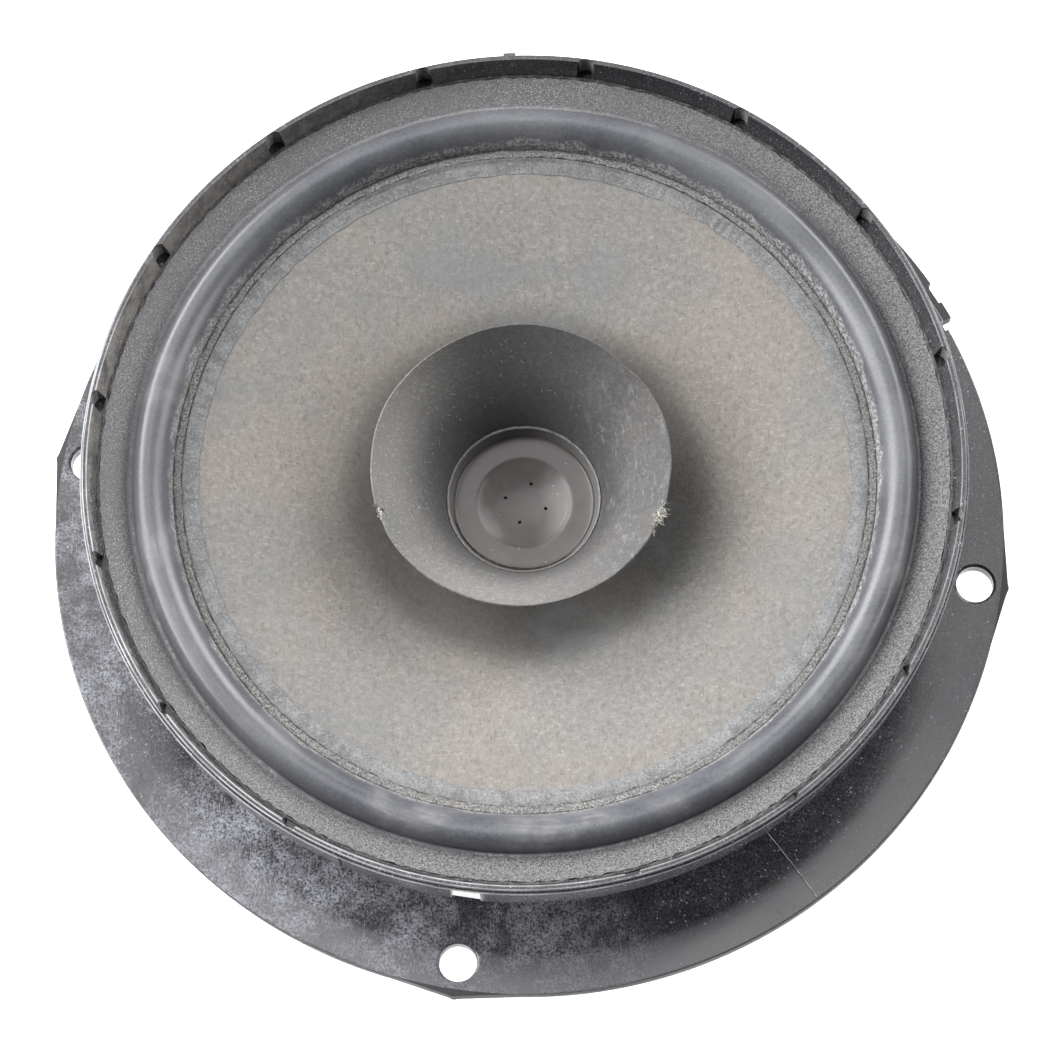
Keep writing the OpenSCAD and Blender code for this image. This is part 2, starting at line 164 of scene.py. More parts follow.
def turned(points, degrees):
    """Points turned about the upright axis."""
    a = math.radians(degrees)
    spin = np.array([[math.cos(a), math.sin(a), 0], [-math.sin(a), math.cos(a), 0], [0, 0, 1]])
    return np.asarray(points, float) @ spin


def turned_part(part, degrees):
    return turned(part[0], degrees), part[1]


def box_data(low, high):
    (x0, y0, z0), (x1, y1, z1) = low, high
    return prism_data([(x0, y0), (x1, y0), (x1, y1), (x0, y1)], z0, z1)


def circle(x, y, r, n=48):
    return [(x + r * math.cos(TURN * k / n), y + r * math.sin(TURN * k / n)) for k in range(n)]


def polar(r, degrees):
    a = math.radians(degrees)
    return r * math.cos(a), r * math.sin(a)


def arc(r, a0, a1, n):
    return [polar(r, a0 + (a1 - a0) * k / n) for k in range(n + 1)]


def sector(r0, r1, a0, a1, n=40):
    """Outline of a part of a flat ring."""
    return arc(r1, a0, a1, n) + arc(r0, a1, a0, n)


def boolean(obj, parts, operation):
    """Adds or cuts all the parts at once."""
    tool = gather("tool", parts)
    mod = obj.modifiers.new("boolean", "BOOLEAN")
    mod.operation = operation
    mod.solver = "MANIFOLD"
    mod.object = tool
    apply_modifiers(obj)
    bpy.data.objects.remove(tool)


def apply_modifiers(obj):
    graph = bpy.context.evaluated_depsgraph_get()
    mesh = bpy.data.meshes.new_from_object(obj.evaluated_get(graph))
    old = obj.data
    obj.modifiers.clear()
    obj.data = mesh
    bpy.data.meshes.remove(old)
    mesh.name = obj.name


def weigh_normals(obj):
    """Flat faces keep their own normal and the small fillets take up the turn."""
    mod = obj.modifiers.new("weighted", "WEIGHTED_NORMAL")
    mod.keep_sharp = True
    mod.weight = 80


def ripple(phi, seed, low, high, count=24):
    """A smooth random number round the ring, about -1 to 1, with low to high waves a turn."""
    rng = np.random.default_rng(seed)
    total = np.zeros_like(phi)
    for n, shift in zip(rng.integers(low, high + 1, count), rng.uniform(0, TURN, count)):
        total = total + np.sin(n * phi + shift)
    return total / math.sqrt(count) * 0.8


def ease(x, low, high):
    t = np.clip((x - low) / (high - low), 0, 1)
    return t * t * (3 - 2 * t)


def near(phi, centre, width):
    """One at a direction round the axis, falling to nothing either side of it."""
    gap = np.angle(np.exp(1j * (phi - centre)))
    return np.exp(-((gap / width) ** 2))


# ---- camera and light

CAMERA_PLACE = Vector((-0.00005, -0.2066, 0.6245))
CAMERA_TILT = math.radians(18.30)
CAMERA_ROLL = math.radians(-4.10)
CAMERA_LENS = 110.66


def make_camera():
    ct, st = math.cos(CAMERA_TILT), math.sin(CAMERA_TILT)
    cr, sr = math.cos(CAMERA_ROLL), math.sin(CAMERA_ROLL)
    right = Vector((cr, sr * ct, sr * st))
    up = Vector((-sr, cr * ct, cr * st))
    back = Vector((0, -st, ct))
    data = bpy.data.cameras.new("camera")
    data.lens = CAMERA_LENS
    data.sensor_width = 36
    data.clip_start = 0.01
    data.clip_end = 20
    cam = bpy.data.objects.new("camera", data)
    turn = Matrix((right, up, back)).transposed().to_4x4()
    cam.matrix_world = Matrix.Translation(CAMERA_PLACE) @ turn
    scene.collection.objects.link(cam)
    scene.camera = cam


def make_light(name, place, size, power):
    """A soft box that faces the middle of the part."""
    data = bpy.data.lights.new(name, "AREA")
    data.shape = "RECTANGLE"
    data.size, data.size_y = size
    data.energy = power
    lamp = bpy.data.objects.new(name, data)
    lamp.location = place
    lamp.rotation_euler = (-Vector(place)).to_track_quat("-Z", "Y").to_euler()
    scene.collection.objects.link(lamp)


make_camera()
scene.view_settings.view_transform = "Standard"
for name, place, size, watts in (
    ("left_back_box", (-1.0, 1.0, 0.75), (0.85, 0.85), 33),
    ("left_high_box", (-0.9, 0.36, 1.25), (0.7, 0.7), 12),
    ("left_box", (-1.41, 0.0, 0.75), (0.7, 0.85), 25),
    ("right_back_box", (1.0, 1.0, 0.75), (0.85, 0.85), 27),
    ("right_box", (1.41, 0.0, 0.75), (0.85, 0.85), 14),
    ("overhead", (0.0, 0.55, 1.6), (0.9, 0.9), 7),
):
    make_light(name, place, size, watts)

world = bpy.data.worlds.new("world")
world.use_nodes = True
backdrop = world.node_tree.nodes["Background"]
backdrop.inputs["Color"].default_value = (0.93, 0.95, 1.0, 1)
backdrop.inputs["Strength"].default_value = 0.06
scene.world = world


# ---- material helpers


def feed(socket, value):
    """Links a node's output to the socket, or sets the socket to a number or a colour."""
    if isinstance(value, bpy.types.NodeSocket):
        socket.id_data.links.new(value, socket)
    elif socket.type == "RGBA" and len(value) == 3:
        socket.default_value = (*value, 1)
    else:
        socket.default_value = value


def calc(operation, a, b=0.0):
    """A sum on two values, at least one of which is a node's output."""
    tree = next(v.id_data for v in (a, b) if isinstance(v, bpy.types.NodeSocket))
    item = tree.nodes.new("ShaderNodeMath")
    item.operation = operation
    feed(item.inputs[0], a)
    feed(item.inputs[1], b)
    return item.outputs[0]


def times(*values):
    return reduce(lambda a, b: calc("MULTIPLY", a, b), values)


def plus(*values):
    return reduce(lambda a, b: calc("ADD", a, b), values)


def most(*values):
    return reduce(lambda a, b: calc("MAXIMUM", a, b), values)


def minus(a, b):
    return calc("SUBTRACT", a, b)


def band(value, low=0.35, high=0.65, to_low=0.0, to_high=1.0):
    """The value eased from low..high, by default the middle of a noise, to to_low..to_high."""
    item = value.id_data.nodes.new("ShaderNodeMapRange")
    item.interpolation_type = "SMOOTHSTEP"
    for key, number in (("From Min", low), ("From Max", high), ("To Min", to_low), ("To Max", to_high)):
        item.inputs[key].default_value = number
    feed(item.inputs["Value"], value)
    return item.outputs["Result"]


def mix(factor, a, b):
    """Colour a where the factor is 0 and colour b where it is 1."""
    item = factor.id_data.nodes.new("ShaderNodeMix")
    item.data_type = "RGBA"
    for index, value in ((0, factor), (6, a), (7, b)):
        feed(item.inputs[index], value)
    return item.outputs[2]


class Look:
    """A procedural material. Textures run in the part's own frame, in metres."""

    def __init__(self, name, color, roughness, metallic=0.0, specular=0.5, sheen=0.0):
        self.mat = bpy.data.materials.new(name)
        self.mat.use_nodes = True
        self.shader = self.mat.node_tree.nodes["Principled BSDF"]
        self.color(color)
        self.rough(roughness)
        self.put("Metallic", metallic)
        self.put("Specular IOR Level", specular)
        self.put("Sheen Weight", sheen)
        self.place = self.node("TexCoord", "Object")

    def put(self, socket, value):
        feed(self.shader.inputs[socket], value)

    def color(self, value):
        self.put("Base Color", value)

    def rough(self, value):
        self.put("Roughness", value)

    def node(self, kind, out, **inputs):
        item = self.mat.node_tree.nodes.new("ShaderNode" + kind)
        for key, value in inputs.items():
            feed(item.inputs[key], value)
        return item.outputs[out]

    def stretched(self, scale, turn):
        """Coordinates scaled by three numbers and turned about the upright axis."""
        return self.node("Mapping", "Vector", Vector=self.place, Scale=scale, Rotation=(0, 0, turn))

    def noise(self, scale, detail=3, rough=0.55, twist=0, vector=None):
        vector = vector or self.place
        return self.node(
            "TexNoise", "Fac", Vector=vector, Scale=scale, Detail=detail, Roughness=rough, Distortion=twist
        )

    def cells(self, scale):
        """Distance from the nearest of many scattered points."""
        return self.node("TexVoronoi", "Distance", Vector=self.place, Scale=scale)

    def axis(self, index):
        return self.node("SeparateXYZ", index, Vector=self.place)

    def radius(self):
        """Distance from the speaker's axis, in millimetres."""
        x, y = self.axis(0), self.axis(1)
        return times(calc("SQRT", plus(times(x, x), times(y, y))), 1 / MM)

    def wrapped(self, per_turn, per_mm, per_mm_up=0.0):
        """Coordinates that wrap round the axis, for marks that follow it."""
        around = times(calc("ARCTAN2", self.axis(1), self.axis(0)), per_turn / TURN)
        out, up = times(self.radius(), per_mm), times(self.axis(2), per_mm_up / MM)
        return self.node("CombineXYZ", "Vector", X=around, Y=out, Z=up)

    def bump(self, height, strength, distance):
        self.put("Normal", self.node("Bump", "Normal", Height=height, Strength=strength, Distance=distance))


def dress(obj, *looks):
    obj.data.materials.clear()
    for look in looks:
        obj.data.materials.append(look.mat)
    return obj


# ---- dimensions

RIM_IN_R, RIM_R, RIM_Z, BEAD_R = 83.0, 84.0, 44.0, 84.5
SKIRT_Z, SKIRT_IN_R = 33.1, 82.4
LEDGE_OUT, LEDGE_IN = (81.7, 38.6), (75.9, 35.7)
FLANGE_R, FLANGE_T, WALL_R = 95.7, 3.2, 75.0
FLOOR_T, FLOOR_HOLE_R, EAR_TIP_R = 3.0, 16.0, 97.15
BOLT_R, HOLE_R = 90.4, 3.7
BOLT_ANGLES = [-12.5 + 90 * k for k in range(4)]
NOTCH_R, NOTCH_ANGLES = 1.75, [10 + 22.5 * k for k in range(16) if k != 11]
SLOT_ANGLE, CORE_HOLE_ANGLE = -101.2, -102.9
STRAP_ANGLES = (-118, -58, 62, 122, 180)
WINDOW_ANGLES = [60 * k for k in range(6)]
SCREW_R, SCREW_ANGLES = 34, (45, 135, 225, 315)
MOTOR_Z = -25

BAND_OUT, SURROUND_T, LIP_R = 81.35, 0.8, 66.05
ROLL_H, FOOT_IN, FOOT_OUT_R = 4.3, (67.8, 34.4), 75.4

CONE_NECK_R, CONE_NECK_Z = 15.4, 18.6
CONE_CURVE_R, CONE_R, CONE_Z, CONE_T = 65.8, 67.4, 34.0, 0.7
EDGE_GLUE_IN, EDGE_GLUE_OUT = 62.9, 66.0
WHIZZER_R, WHIZZER_Z = 28.6, 39.4
NECK_TOP_R, NECK_TOP_Z = 15.2, 21.4
CHIP, FRAY, DENT = math.radians(195), math.radians(-26), math.radians(42)
CAP_Z, CAP_FOLD, CAP_SAG, CAP_T = 18.0, 9.5, 1.9, 0.4

SPIDER_Z, SPIDER_T, SPIDER_IN, SPIDER_OUT = 11.95, 0.5, 15.2, 44.2
SPIDER_WAVES, WAVE_H = 6, 1.3
LEAD_PITCH = 4.2
LINT_Z = FLANGE_T + 0.04


# ---- looks


def moulded_plastic():
    """Dark glossy basket plastic with lint and clouds of pale dust, thickest on the left."""
    look = Look("moulded_plastic", (0.02, 0.021, 0.025), 0.2)
    x, y, z, r = look.axis(0), look.axis(1), look.axis(2), look.radius()
    cloud = look.noise(42, 5, 0.62)
    patches = look.noise(230, 5, 0.72)
    fine = look.noise(2100, 3, 0.75)
    left = band(band(plus(x, times(y, 0.25)), 0.045, -0.075), 0, 1, 0.1, 1)
    facing_up = band(z, 0.0034, 0.006, 1, 0.22)
    amount = times(band(cloud, 0.36, 0.6, 0.12, 1), left, facing_up)
    haze = times(band(patches, 0.32, 0.68, 0.2, 1), band(fine, 0.37, 0.63, 0.12, 1), amount, 1.05)
    threads = [
        band(look.noise(1, 2, 0.55, 0.3, vector=look.stretched((2700, 330, 900), turn)), 0.6, 0.7)
        for turn in (0.3, 1.35, 2.4)
    ]
    threads = times(most(*threads), band(amount, 0, 1, 0.06, 0.6))
    specks = band(look.cells(640), 0.17, 0.06)
    rare = band(look.noise(160, 2), 0.4, 0.58, 0.12, 1)
    grains = times(band(look.cells(1500), 0.24, 0.1), band(patches, 0.4, 0.6, 0.1, 0.5))
    dots = most(times(specks, rare, 0.72), grains)
    dust = calc("MINIMUM", plus(most(haze, threads), dots), 1.0)
    base = mix(band(fine, 0.38, 0.66), (0.016, 0.015, 0.018), (0.044, 0.043, 0.047))
    # The flange's front has a paler ring painted as a reflection of the bright surroundings, and its outer
    # edge is painted darker as shade against the floor's light and is dull.
    painted_flange_reflection = times(band(r, 87.4, 89.6), band(y, -0.03, -0.08, 0.15, 1))
    side = band(r, FLANGE_R - 0.2, FLANGE_R - 0.04)
    base = mix(times(painted_flange_reflection, 0.9), base, (0.105, 0.102, 0.108))
    base = mix(dust, base, (0.36, 0.37, 0.41))
    base = mix(times(side, 0.85), base, (0.02, 0.02, 0.022))
    # A torn beige strip inside the rim, and painted light inside the notches that lifts their shade.
    high = band(z, 0.0388, 0.0392)
    jag = minus(z, times(minus(look.noise(700, 3, 0.7), 0.5), 0.006))
    torn = most(band(jag, 0.0418, 0.0426, 0.08, 1), band(y, -0.01, 0.02, 0, 0.8))
    inside = band(r, RIM_IN_R + 0.02, RIM_IN_R - 0.04)
    strip = times(high, inside, band(x, 0.02, -0.06, 0.04, 0.75), band(patches, 0.3, 0.65, 0.3, 1), torn)
    base = mix(strip, base, (0.3, 0.28, 0.255))
    notch_painted_light = times(high, band(z, 0.0437, 0.0434), band(r, RIM_IN_R + 0.06, RIM_IN_R + 0.16))
    notch_painted_light = times(notch_painted_light, band(r, RIM_R - 0.04, RIM_R - 0.08), band(fine, 0.4, 0.6, 0.5, 1))
    base = mix(notch_painted_light, base, (0.34, 0.33, 0.32))
    # Painted highlights: pale lines along the rim's edges, most at the left and least at the back, where the
    # light catches them.
    inner_line = band(calc("ABSOLUTE", minus(r, RIM_IN_R + 0.12)), 0.2, 0.05)
    outer_line = band(calc("ABSOLUTE", minus(r, RIM_R - 0.14)), 0.16, 0.05)
    painted_edge_highlight = times(
        most(inner_line, outer_line, band(r, BEAD_R - 0.3, BEAD_R - 0.08)),
        band(z, 0.0415, 0.0419),
        band(look.noise(1, 3, 0.6, vector=look.wrapped(70, 2.2)), 0.3, 0.65, 0.3, 1),
        band(x, 0.05, -0.05, 0.4, 1),
        band(y, 0.045, 0.02, 0.08, 1),
    )
    look.color(mix(painted_edge_highlight, base, (0.42, 0.42, 0.44)))
    look.rough(plus(band(cloud, 0.3, 0.7, 0.12, 0.2), times(dust, 0.5), times(side, 0.4)))
    look.bump(plus(times(fine, 0.4), times(dust, 0.8)), 0.2, 0.00006)
    return look


def speckled_band():
    """The surround's outer border: fine metallic-looking grey grain with bright specks, with painted light
    towards the upper left and a painted highlight line along its inner edge there.
    """
    look = Look("speckled_band", (0.12, 0.12, 0.125), 0.7, specular=0.35)
    grain = look.noise(2700, 3, 0.75)
    patch = look.noise(55, 3, 0.55)
    specks = band(look.cells(2900), 0.34, 0.12)
    # Painted light: the upper-left side is lightened, its specks brightened, and a pale highlight line
    # painted along the inner edge.
    slope = minus(times(look.axis(1), 0.6), times(look.axis(0), 0.8))
    pale = band(slope, -0.045, 0.065)
    base = mix(band(grain), (0.036, 0.035, 0.038), (0.17, 0.166, 0.171))
    base = mix(times(pale, 0.42), base, (0.2, 0.198, 0.202))
    ring = band(plus(look.radius(), times(look.noise(400, 3), 0.5)), 76.9, 76.3)
    base = mix(times(ring, pale, 0.5), base, (0.45, 0.45, 0.46))
    specks = times(specks, band(patch, 0.35, 0.65, 0.25, 0.7))
    look.color(mix(times(specks, band(pale, 0, 1, 0.5, 1)), base, (0.68, 0.68, 0.69)))
    look.bump(plus(grain, times(specks, 0.5)), 0.6, 0.00009)
    return look


def roll_rubber():
    """The half-roll: smooth blue-grey rubber, with dark grit in the crease at its inner foot."""
    look = Look("roll_rubber", (0.05, 0.055, 0.062), 0.4)
    r = look.radius()
    cloud = look.noise(45, 4, 0.6, 0.5)
    streak = look.noise(1, 4, 0.6, vector=look.wrapped(60, 0.9))
    lint = look.noise(1500, 3, 0.75)
    specks = band(look.cells(900), 0.16, 0.05)
    edge = times(look.noise(150, 4, 0.65), 2.6)
    foot = band(minus(r, edge), 67.5, 66.7)
    outer = band(plus(r, edge), 76.8, 77.5)
    left = band(look.axis(0), -0.03, -0.065)
    low = most(band(look.axis(1), 0.02, -0.05, 0.2, 1), left)
    haze = times(band(cloud, 0.45, 0.7), band(streak, 0.42, 0.65, 0.1, 0.4), low)
    grit = times(most(foot, outer), band(lint, 0.42, 0.6, 0.05, 0.9))
    dust = most(haze, grit, times(specks, band(cloud, 0.4, 0.6, 0.08, 0.4)))
    base = mix(band(cloud), (0.058, 0.06, 0.069), (0.085, 0.088, 0.098))
    base = mix(band(lint, 0.35, 0.65, 0, 0.24), base, (0.16, 0.16, 0.17))
    # Painted light: the roll's left side is lightened where the key light falls.
    base = mix(times(left, 0.14), base, (0.19, 0.19, 0.195))
    look.color(mix(dust, base, (0.34, 0.335, 0.33)))
    look.rough(plus(band(cloud, 0.3, 0.7, 0.31, 0.39), times(dust, 0.4)))
    look.bump(plus(times(lint, 0.5), look.noise(1800, 2)), 0.12, 0.00005)
    return look


def dusty_lip():
    """The surround's glued lip: rubber under a coat of brown-grey dust and white grit."""
    look = Look("dusty_lip", (0.16, 0.15, 0.14), 0.85, specular=0.25)
    grain = look.noise(2100, 3, 0.75)
    patch = look.noise(330, 3, 0.6)
    specks = band(look.cells(1700), 0.28, 0.1)
    base = mix(band(grain, 0.34, 0.66), (0.06, 0.058, 0.056), (0.28, 0.272, 0.262))
    base = mix(band(patch, 0.35, 0.7, 0, 0.5), base, (0.13, 0.13, 0.137))
    r = plus(look.radius(), times(minus(patch, 0.5), 1.2))
    # Painted shade: dark lines in the creases at both edges of the lip.
    crease_shade = most(band(r, 67.35, 67.6), band(r, 66.28, 66.1))
    base = mix(times(crease_shade, 0.75), base, (0.03, 0.029, 0.028))
    look.color(mix(times(specks, 0.45), base, (0.55, 0.54, 0.52)))
    look.bump(grain, 0.7, 0.00012)
    return look


def pulp(name, stains_and_shade, turn, warm, cool, dust, dark):
    """Bare paper pulp: short fibres, warm and cool clouds and pale lint, under stains and painted shade."""
    look = Look(name, warm, 0.95, specular=0.12, sheen=0.1)
    clouds = look.noise(30, 4, 0.6)
    mottle = look.noise(850, 3, 0.6)
    along = look.stretched((2700, 900, 1400), turn)
    across = look.stretched((1000, 2500, 1400), turn + 0.5)
    fibres = look.noise(1, 3, 0.7, 0.6, vector=along)
    threads = look.noise(1, 3, 0.65, 0.5, vector=across)
    base = mix(band(clouds, 0.42, 0.62), warm, cool)
    base = mix(band(mottle, 0.48, 0.72, 0, 0.35), base, dust)
    base = mix(band(mottle, 0.5, 0.28, 0, 0.3), base, dark)
    base = mix(band(fibres, 0.5, 0.26, 0, 0.75), base, dark)
    base = mix(band(threads, 0.52, 0.78, 0, 0.8), base, dust)
    base = stains_and_shade(look, base, threads)
    specks = times(band(look.cells(800), 0.1, 0.03), band(clouds, 0.45, 0.6))
    look.color(mix(times(specks, 0.35), base, (0.5, 0.5, 0.5)))
    look.bump(plus(fibres, threads, times(mottle, 0.5)), 0.6, 0.00012)
    return look


def cone_stains_and_shade(look, base, threads):
    """The cone has painted shade, darker towards its neck under the whizzer, and bluish stains where glue
    ran.
    """
    # Painted shade round the neck, where the whizzer shades the cone.
    shade = band(look.radius(), 39.5, 31.5, 0, 0.62)
    base = mix(shade, base, (0.045, 0.043, 0.042))
    stain = band(look.noise(36, 4, 0.65), 0.5, 0.66)
    stain = times(stain, band(look.noise(150, 3), 0.4, 0.62, 0.3, 1), 0.4)
    return mix(stain, base, (0.15, 0.158, 0.165))


def whizzer_dust_and_shade(look, base, threads):
    """Dust lies on the whizzer's left and lower inside; its deep inside towards the neck and its far upper
    inside carry painted shade, and the tube below the neck is lighter.
    """
    r, x, y = look.radius(), look.axis(0), look.axis(1)
    # Painted shade: the deep inside darkens towards the neck.
    painted_neck_shade = band(r, 22.5, 15.5, 0, 0.5)
    base = mix(painted_neck_shade, base, (0.03, 0.029, 0.03))
    base = mix(band(look.axis(2), 0.0213, 0.0207, 0, 0.8), base, (0.17, 0.16, 0.155))
    # Painted shade on the far upper inside, which faces away from the light.
    painted_far_shade = band(minus(times(y, 0.9), times(x, 0.25)), -0.004, 0.02)
    base = mix(times(painted_far_shade, 0.42), base, (0.035, 0.036, 0.038))
    left = band(plus(x, times(y, 0.35)), 0.004, -0.021)
    cover = times(left, band(r, 18.5, 26.5), band(y, -0.012, 0.0, 0.55, 1))
    base = mix(times(cover, 0.62), base, (0.235, 0.228, 0.218))
    grey = times(cover, band(threads, 0.5, 0.66, 0, 0.35))
    base = mix(grey, base, (0.38, 0.37, 0.355))
    streak = look.noise(1, 3, 0.6, vector=look.stretched((900, 260, 500), 0.75))
    side = times(band(x, 0.008, 0.02), band(streak, 0.55, 0.7))
    return mix(times(side, 0.45), base, (0.22, 0.22, 0.22))


def dried_glue(name, color, pale, rough=0.6):
    """Dried glue with ripples and grit."""
    look = Look(name, color, rough, specular=0.4)
    cloud = look.noise(300, 4, 0.6, 0.6)
    grit = look.noise(2300, 3, 0.75)
    base = mix(band(cloud), color, pale)
    base = mix(band(grit, 0.5, 0.34, 0, 0.6), base, tuple(0.45 * c for c in color))
    look.color(mix(band(grit, 0.53, 0.7, 0, 0.7), base, tuple(0.7 * c + 0.17 for c in pale)))
    look.rough(band(cloud, 0.3, 0.7, rough - 0.15, rough + 0.15))
    look.bump(plus(cloud, times(grit, 0.4)), 0.5, 0.0001)
    return look


def cap_plastic():
    """The dust cap: satin brown-grey film with a little dust."""
    look = Look("cap_plastic", (0.12, 0.113, 0.11), 0.4)
    cloud = look.noise(150, 3, 0.55, 0.5)
    fine = look.noise(1500, 3, 0.6)
    specks = band(look.cells(420), 0.1, 0.03)
    base = mix(band(cloud), (0.093, 0.086, 0.084), (0.121, 0.111, 0.108))
    look.color(mix(times(specks, 0.5), base, (0.45, 0.44, 0.43)))
    look.rough(band(cloud, 0.3, 0.7, 0.31, 0.4))
    look.bump(fine, 0.15, 0.00005)
    return look


def metal(name, color, rough, turned_marks=True):
    """Plated or turned steel: fine circular tool marks, stains and wear."""
    look = Look(name, color, rough, metallic=1.0)
    stain = look.noise(60, 4, 0.6, 0.5)
    if turned_marks:
        marks = look.noise(1, 3, 0.6, vector=look.wrapped(12, 9, 9))
    else:
        marks = look.noise(900, 3, 0.6)
    tint = tuple(c * 0.72 for c in color)
    look.color(mix(band(stain, 0.45, 0.75, 0, 0.7), color, tint))
    look.rough(plus(band(stain, 0.3, 0.7, rough - 0.08, rough + 0.12), times(marks, 0.08)))
    look.bump(marks, 0.25, 0.00004)
    return look


def ferrite():
    """Ground black ceramic with pores and grinding marks."""
    look = Look("ferrite", (0.035, 0.035, 0.038), 0.55, specular=0.4)
    grind = look.noise(1, 3, 0.6, vector=look.wrapped(90, 5, 1.5))
    pores = band(look.cells(260), 0.1, 0.05)
    cloud = look.noise(70, 4, 0.6)
    base = mix(band(cloud), (0.028, 0.028, 0.03), (0.055, 0.055, 0.058))
    look.color(mix(times(pores, 0.7), base, (0.012, 0.012, 0.012)))
    look.rough(band(grind, 0.3, 0.7, 0.42, 0.65))
    look.bump(minus(times(grind, 0.5), pores), 0.3, 0.0001)
    return look


def woven_cloth():
    """Resin-stiffened spider cloth: a plain weave with amber resin."""
    look = Look("woven_cloth", (0.45, 0.33, 0.14), 0.7, specular=0.35)
    cross = times(*(calc("SINE", times(look.axis(index), TURN / 0.0007)) for index in (0, 1)))
    stain = look.noise(90, 4, 0.6)
    base = mix(band(cross, -0.8, 0.8), (0.33, 0.23, 0.09), (0.55, 0.42, 0.2))
    look.color(mix(band(stain, 0.45, 0.75, 0, 0.5), base, (0.3, 0.2, 0.08)))
    look.rough(band(stain, 0.3, 0.7, 0.55, 0.8))
    look.bump(cross, 0.6, 0.00012)
    return look


def braid():
    """Tinsel braid: silvery foil strands among pale textile."""
    look = Look("braid", (0.6, 0.55, 0.47), 0.5, metallic=0.35)
    strand = look.noise(1800, 2, 0.6)
    look.color(mix(band(strand, 0.4, 0.6), (0.62, 0.56, 0.46), (0.72, 0.7, 0.66)))
    look.rough(band(strand, 0.3, 0.7, 0.35, 0.7))
    look.bump(strand, 0.4, 0.00008)
    return look


def foam():
    """Closed-cell gasket foam."""
    look = Look("foam", (0.035, 0.035, 0.037), 0.95, specular=0.15)
    pores = look.cells(1300)
    shade = look.noise(200, 3)
    base = mix(band(pores, 0.05, 0.4), (0.015, 0.015, 0.016), (0.06, 0.06, 0.063))
    look.color(mix(band(shade, 0.4, 0.7, 0, 0.5), base, (0.075, 0.075, 0.078)))
    look.bump(pores, 0.8, 0.0002)
    return look


def fine_moulding():
    """Matt connector plastic."""
    look = Look("fine_moulding", (0.022, 0.023, 0.026), 0.5)
    cloud = look.noise(120, 3)
    grain = look.noise(3000, 2, 0.6)
    look.color(mix(band(cloud, 0.35, 0.7), (0.018, 0.019, 0.022), (0.035, 0.036, 0.04)))
    look.rough(band(cloud, 0.3, 0.7, 0.42, 0.58))
    look.bump(grain, 0.35, 0.00005)
    return look


def wound_copper():
    """Layers of enamelled wire seen from outside."""
    look = Look("wound_copper", (0.72, 0.33, 0.16), 0.3, metallic=1.0)
    turns = calc("SINE", times(look.axis(2), TURN / 0.00025))
    shade = look.noise(500, 3)
    look.color(mix(band(shade, 0.35, 0.7), (0.72, 0.32, 0.15), (0.55, 0.22, 0.09)))
    look.rough(band(shade, 0.3, 0.7, 0.22, 0.4))
    look.bump(turns, 0.8, 0.0001)
    return look


def kraft(name, color, rough):
    """Former film or kraft collar: faint wraps and marks."""
    look = Look(name, color, rough)
    wrap = look.noise(1, 3, 0.6, vector=look.wrapped(8, 0.5, 2.5))
    fine = look.noise(1400, 2)
    dark = tuple(c * 0.6 for c in color)
    look.color(mix(band(wrap, 0.4, 0.7, 0, 0.6), color, dark))
    look.rough(band(fine, 0.3, 0.7, rough - 0.1, rough + 0.1))
    look.bump(plus(wrap, times(fine, 0.3)), 0.2, 0.00006)
    return look


PLASTIC = moulded_plastic()
BAND = speckled_band()
RUBBER = roll_rubber()
LIP = dusty_lip()
CONE = pulp(
    "cone_pulp", cone_stains_and_shade, 0.0,
    (0.2, 0.184, 0.168), (0.176, 0.172, 0.166), (0.3, 0.292, 0.28), (0.1, 0.091, 0.083),
)
WHIZZER = pulp(
    "whizzer_pulp", whizzer_dust_and_shade, 0.4,
    (0.108, 0.104, 0.101), (0.09, 0.09, 0.092), (0.18, 0.177, 0.173), (0.06, 0.059, 0.059),
)
EDGE_GLUE = dried_glue("edge_glue", (0.118, 0.12, 0.122), (0.185, 0.188, 0.19), 0.7)
NECK_GLUE = dried_glue("neck_glue", (0.07, 0.062, 0.052), (0.13, 0.115, 0.1))
BEAD_GLUE = dried_glue("bead_glue", (0.13, 0.127, 0.125), (0.2, 0.196, 0.19), 0.5)
RIM_GLUE = dried_glue("rim_glue", (0.02, 0.02, 0.021), (0.05, 0.048, 0.045))
SEAT_GLUE = dried_glue("seat_glue", (0.03, 0.028, 0.025), (0.06, 0.057, 0.05))
ANCHOR_GLUE = dried_glue("anchor_glue", (0.05, 0.042, 0.032), (0.1, 0.085, 0.065), 0.35)
CAP = cap_plastic()
STEEL = metal("zinc_steel", (0.5, 0.51, 0.52), 0.32)
POLE_STEEL = metal("pole_steel", (0.53, 0.53, 0.54), 0.26)
SCREW_STEEL = metal("screw_steel", (0.58, 0.59, 0.6), 0.25, False)
BRASS = metal("tinned_brass", (0.66, 0.53, 0.27), 0.28, False)
SOLDER = metal("solder", (0.62, 0.63, 0.64), 0.3, False)
FERRITE = ferrite()
CLOTH = woven_cloth()
BRAID = braid()
FOAM = foam()
CONNECTOR = fine_moulding()
COPPER = wound_copper()
FILM = kraft("former_film", (0.42, 0.29, 0.13), 0.3)
COLLAR = kraft("collar_paper", (0.36, 0.27, 0.17), 0.8)


def hand_in(obj, look, body, slot, *replaced):
    """Dresses a finished piece, rides it on a body and hides the CAD nodes that it replaces."""
    dress(obj, look)
    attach(obj, body)
    if replaced:
        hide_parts(*replaced)


# ---- basket


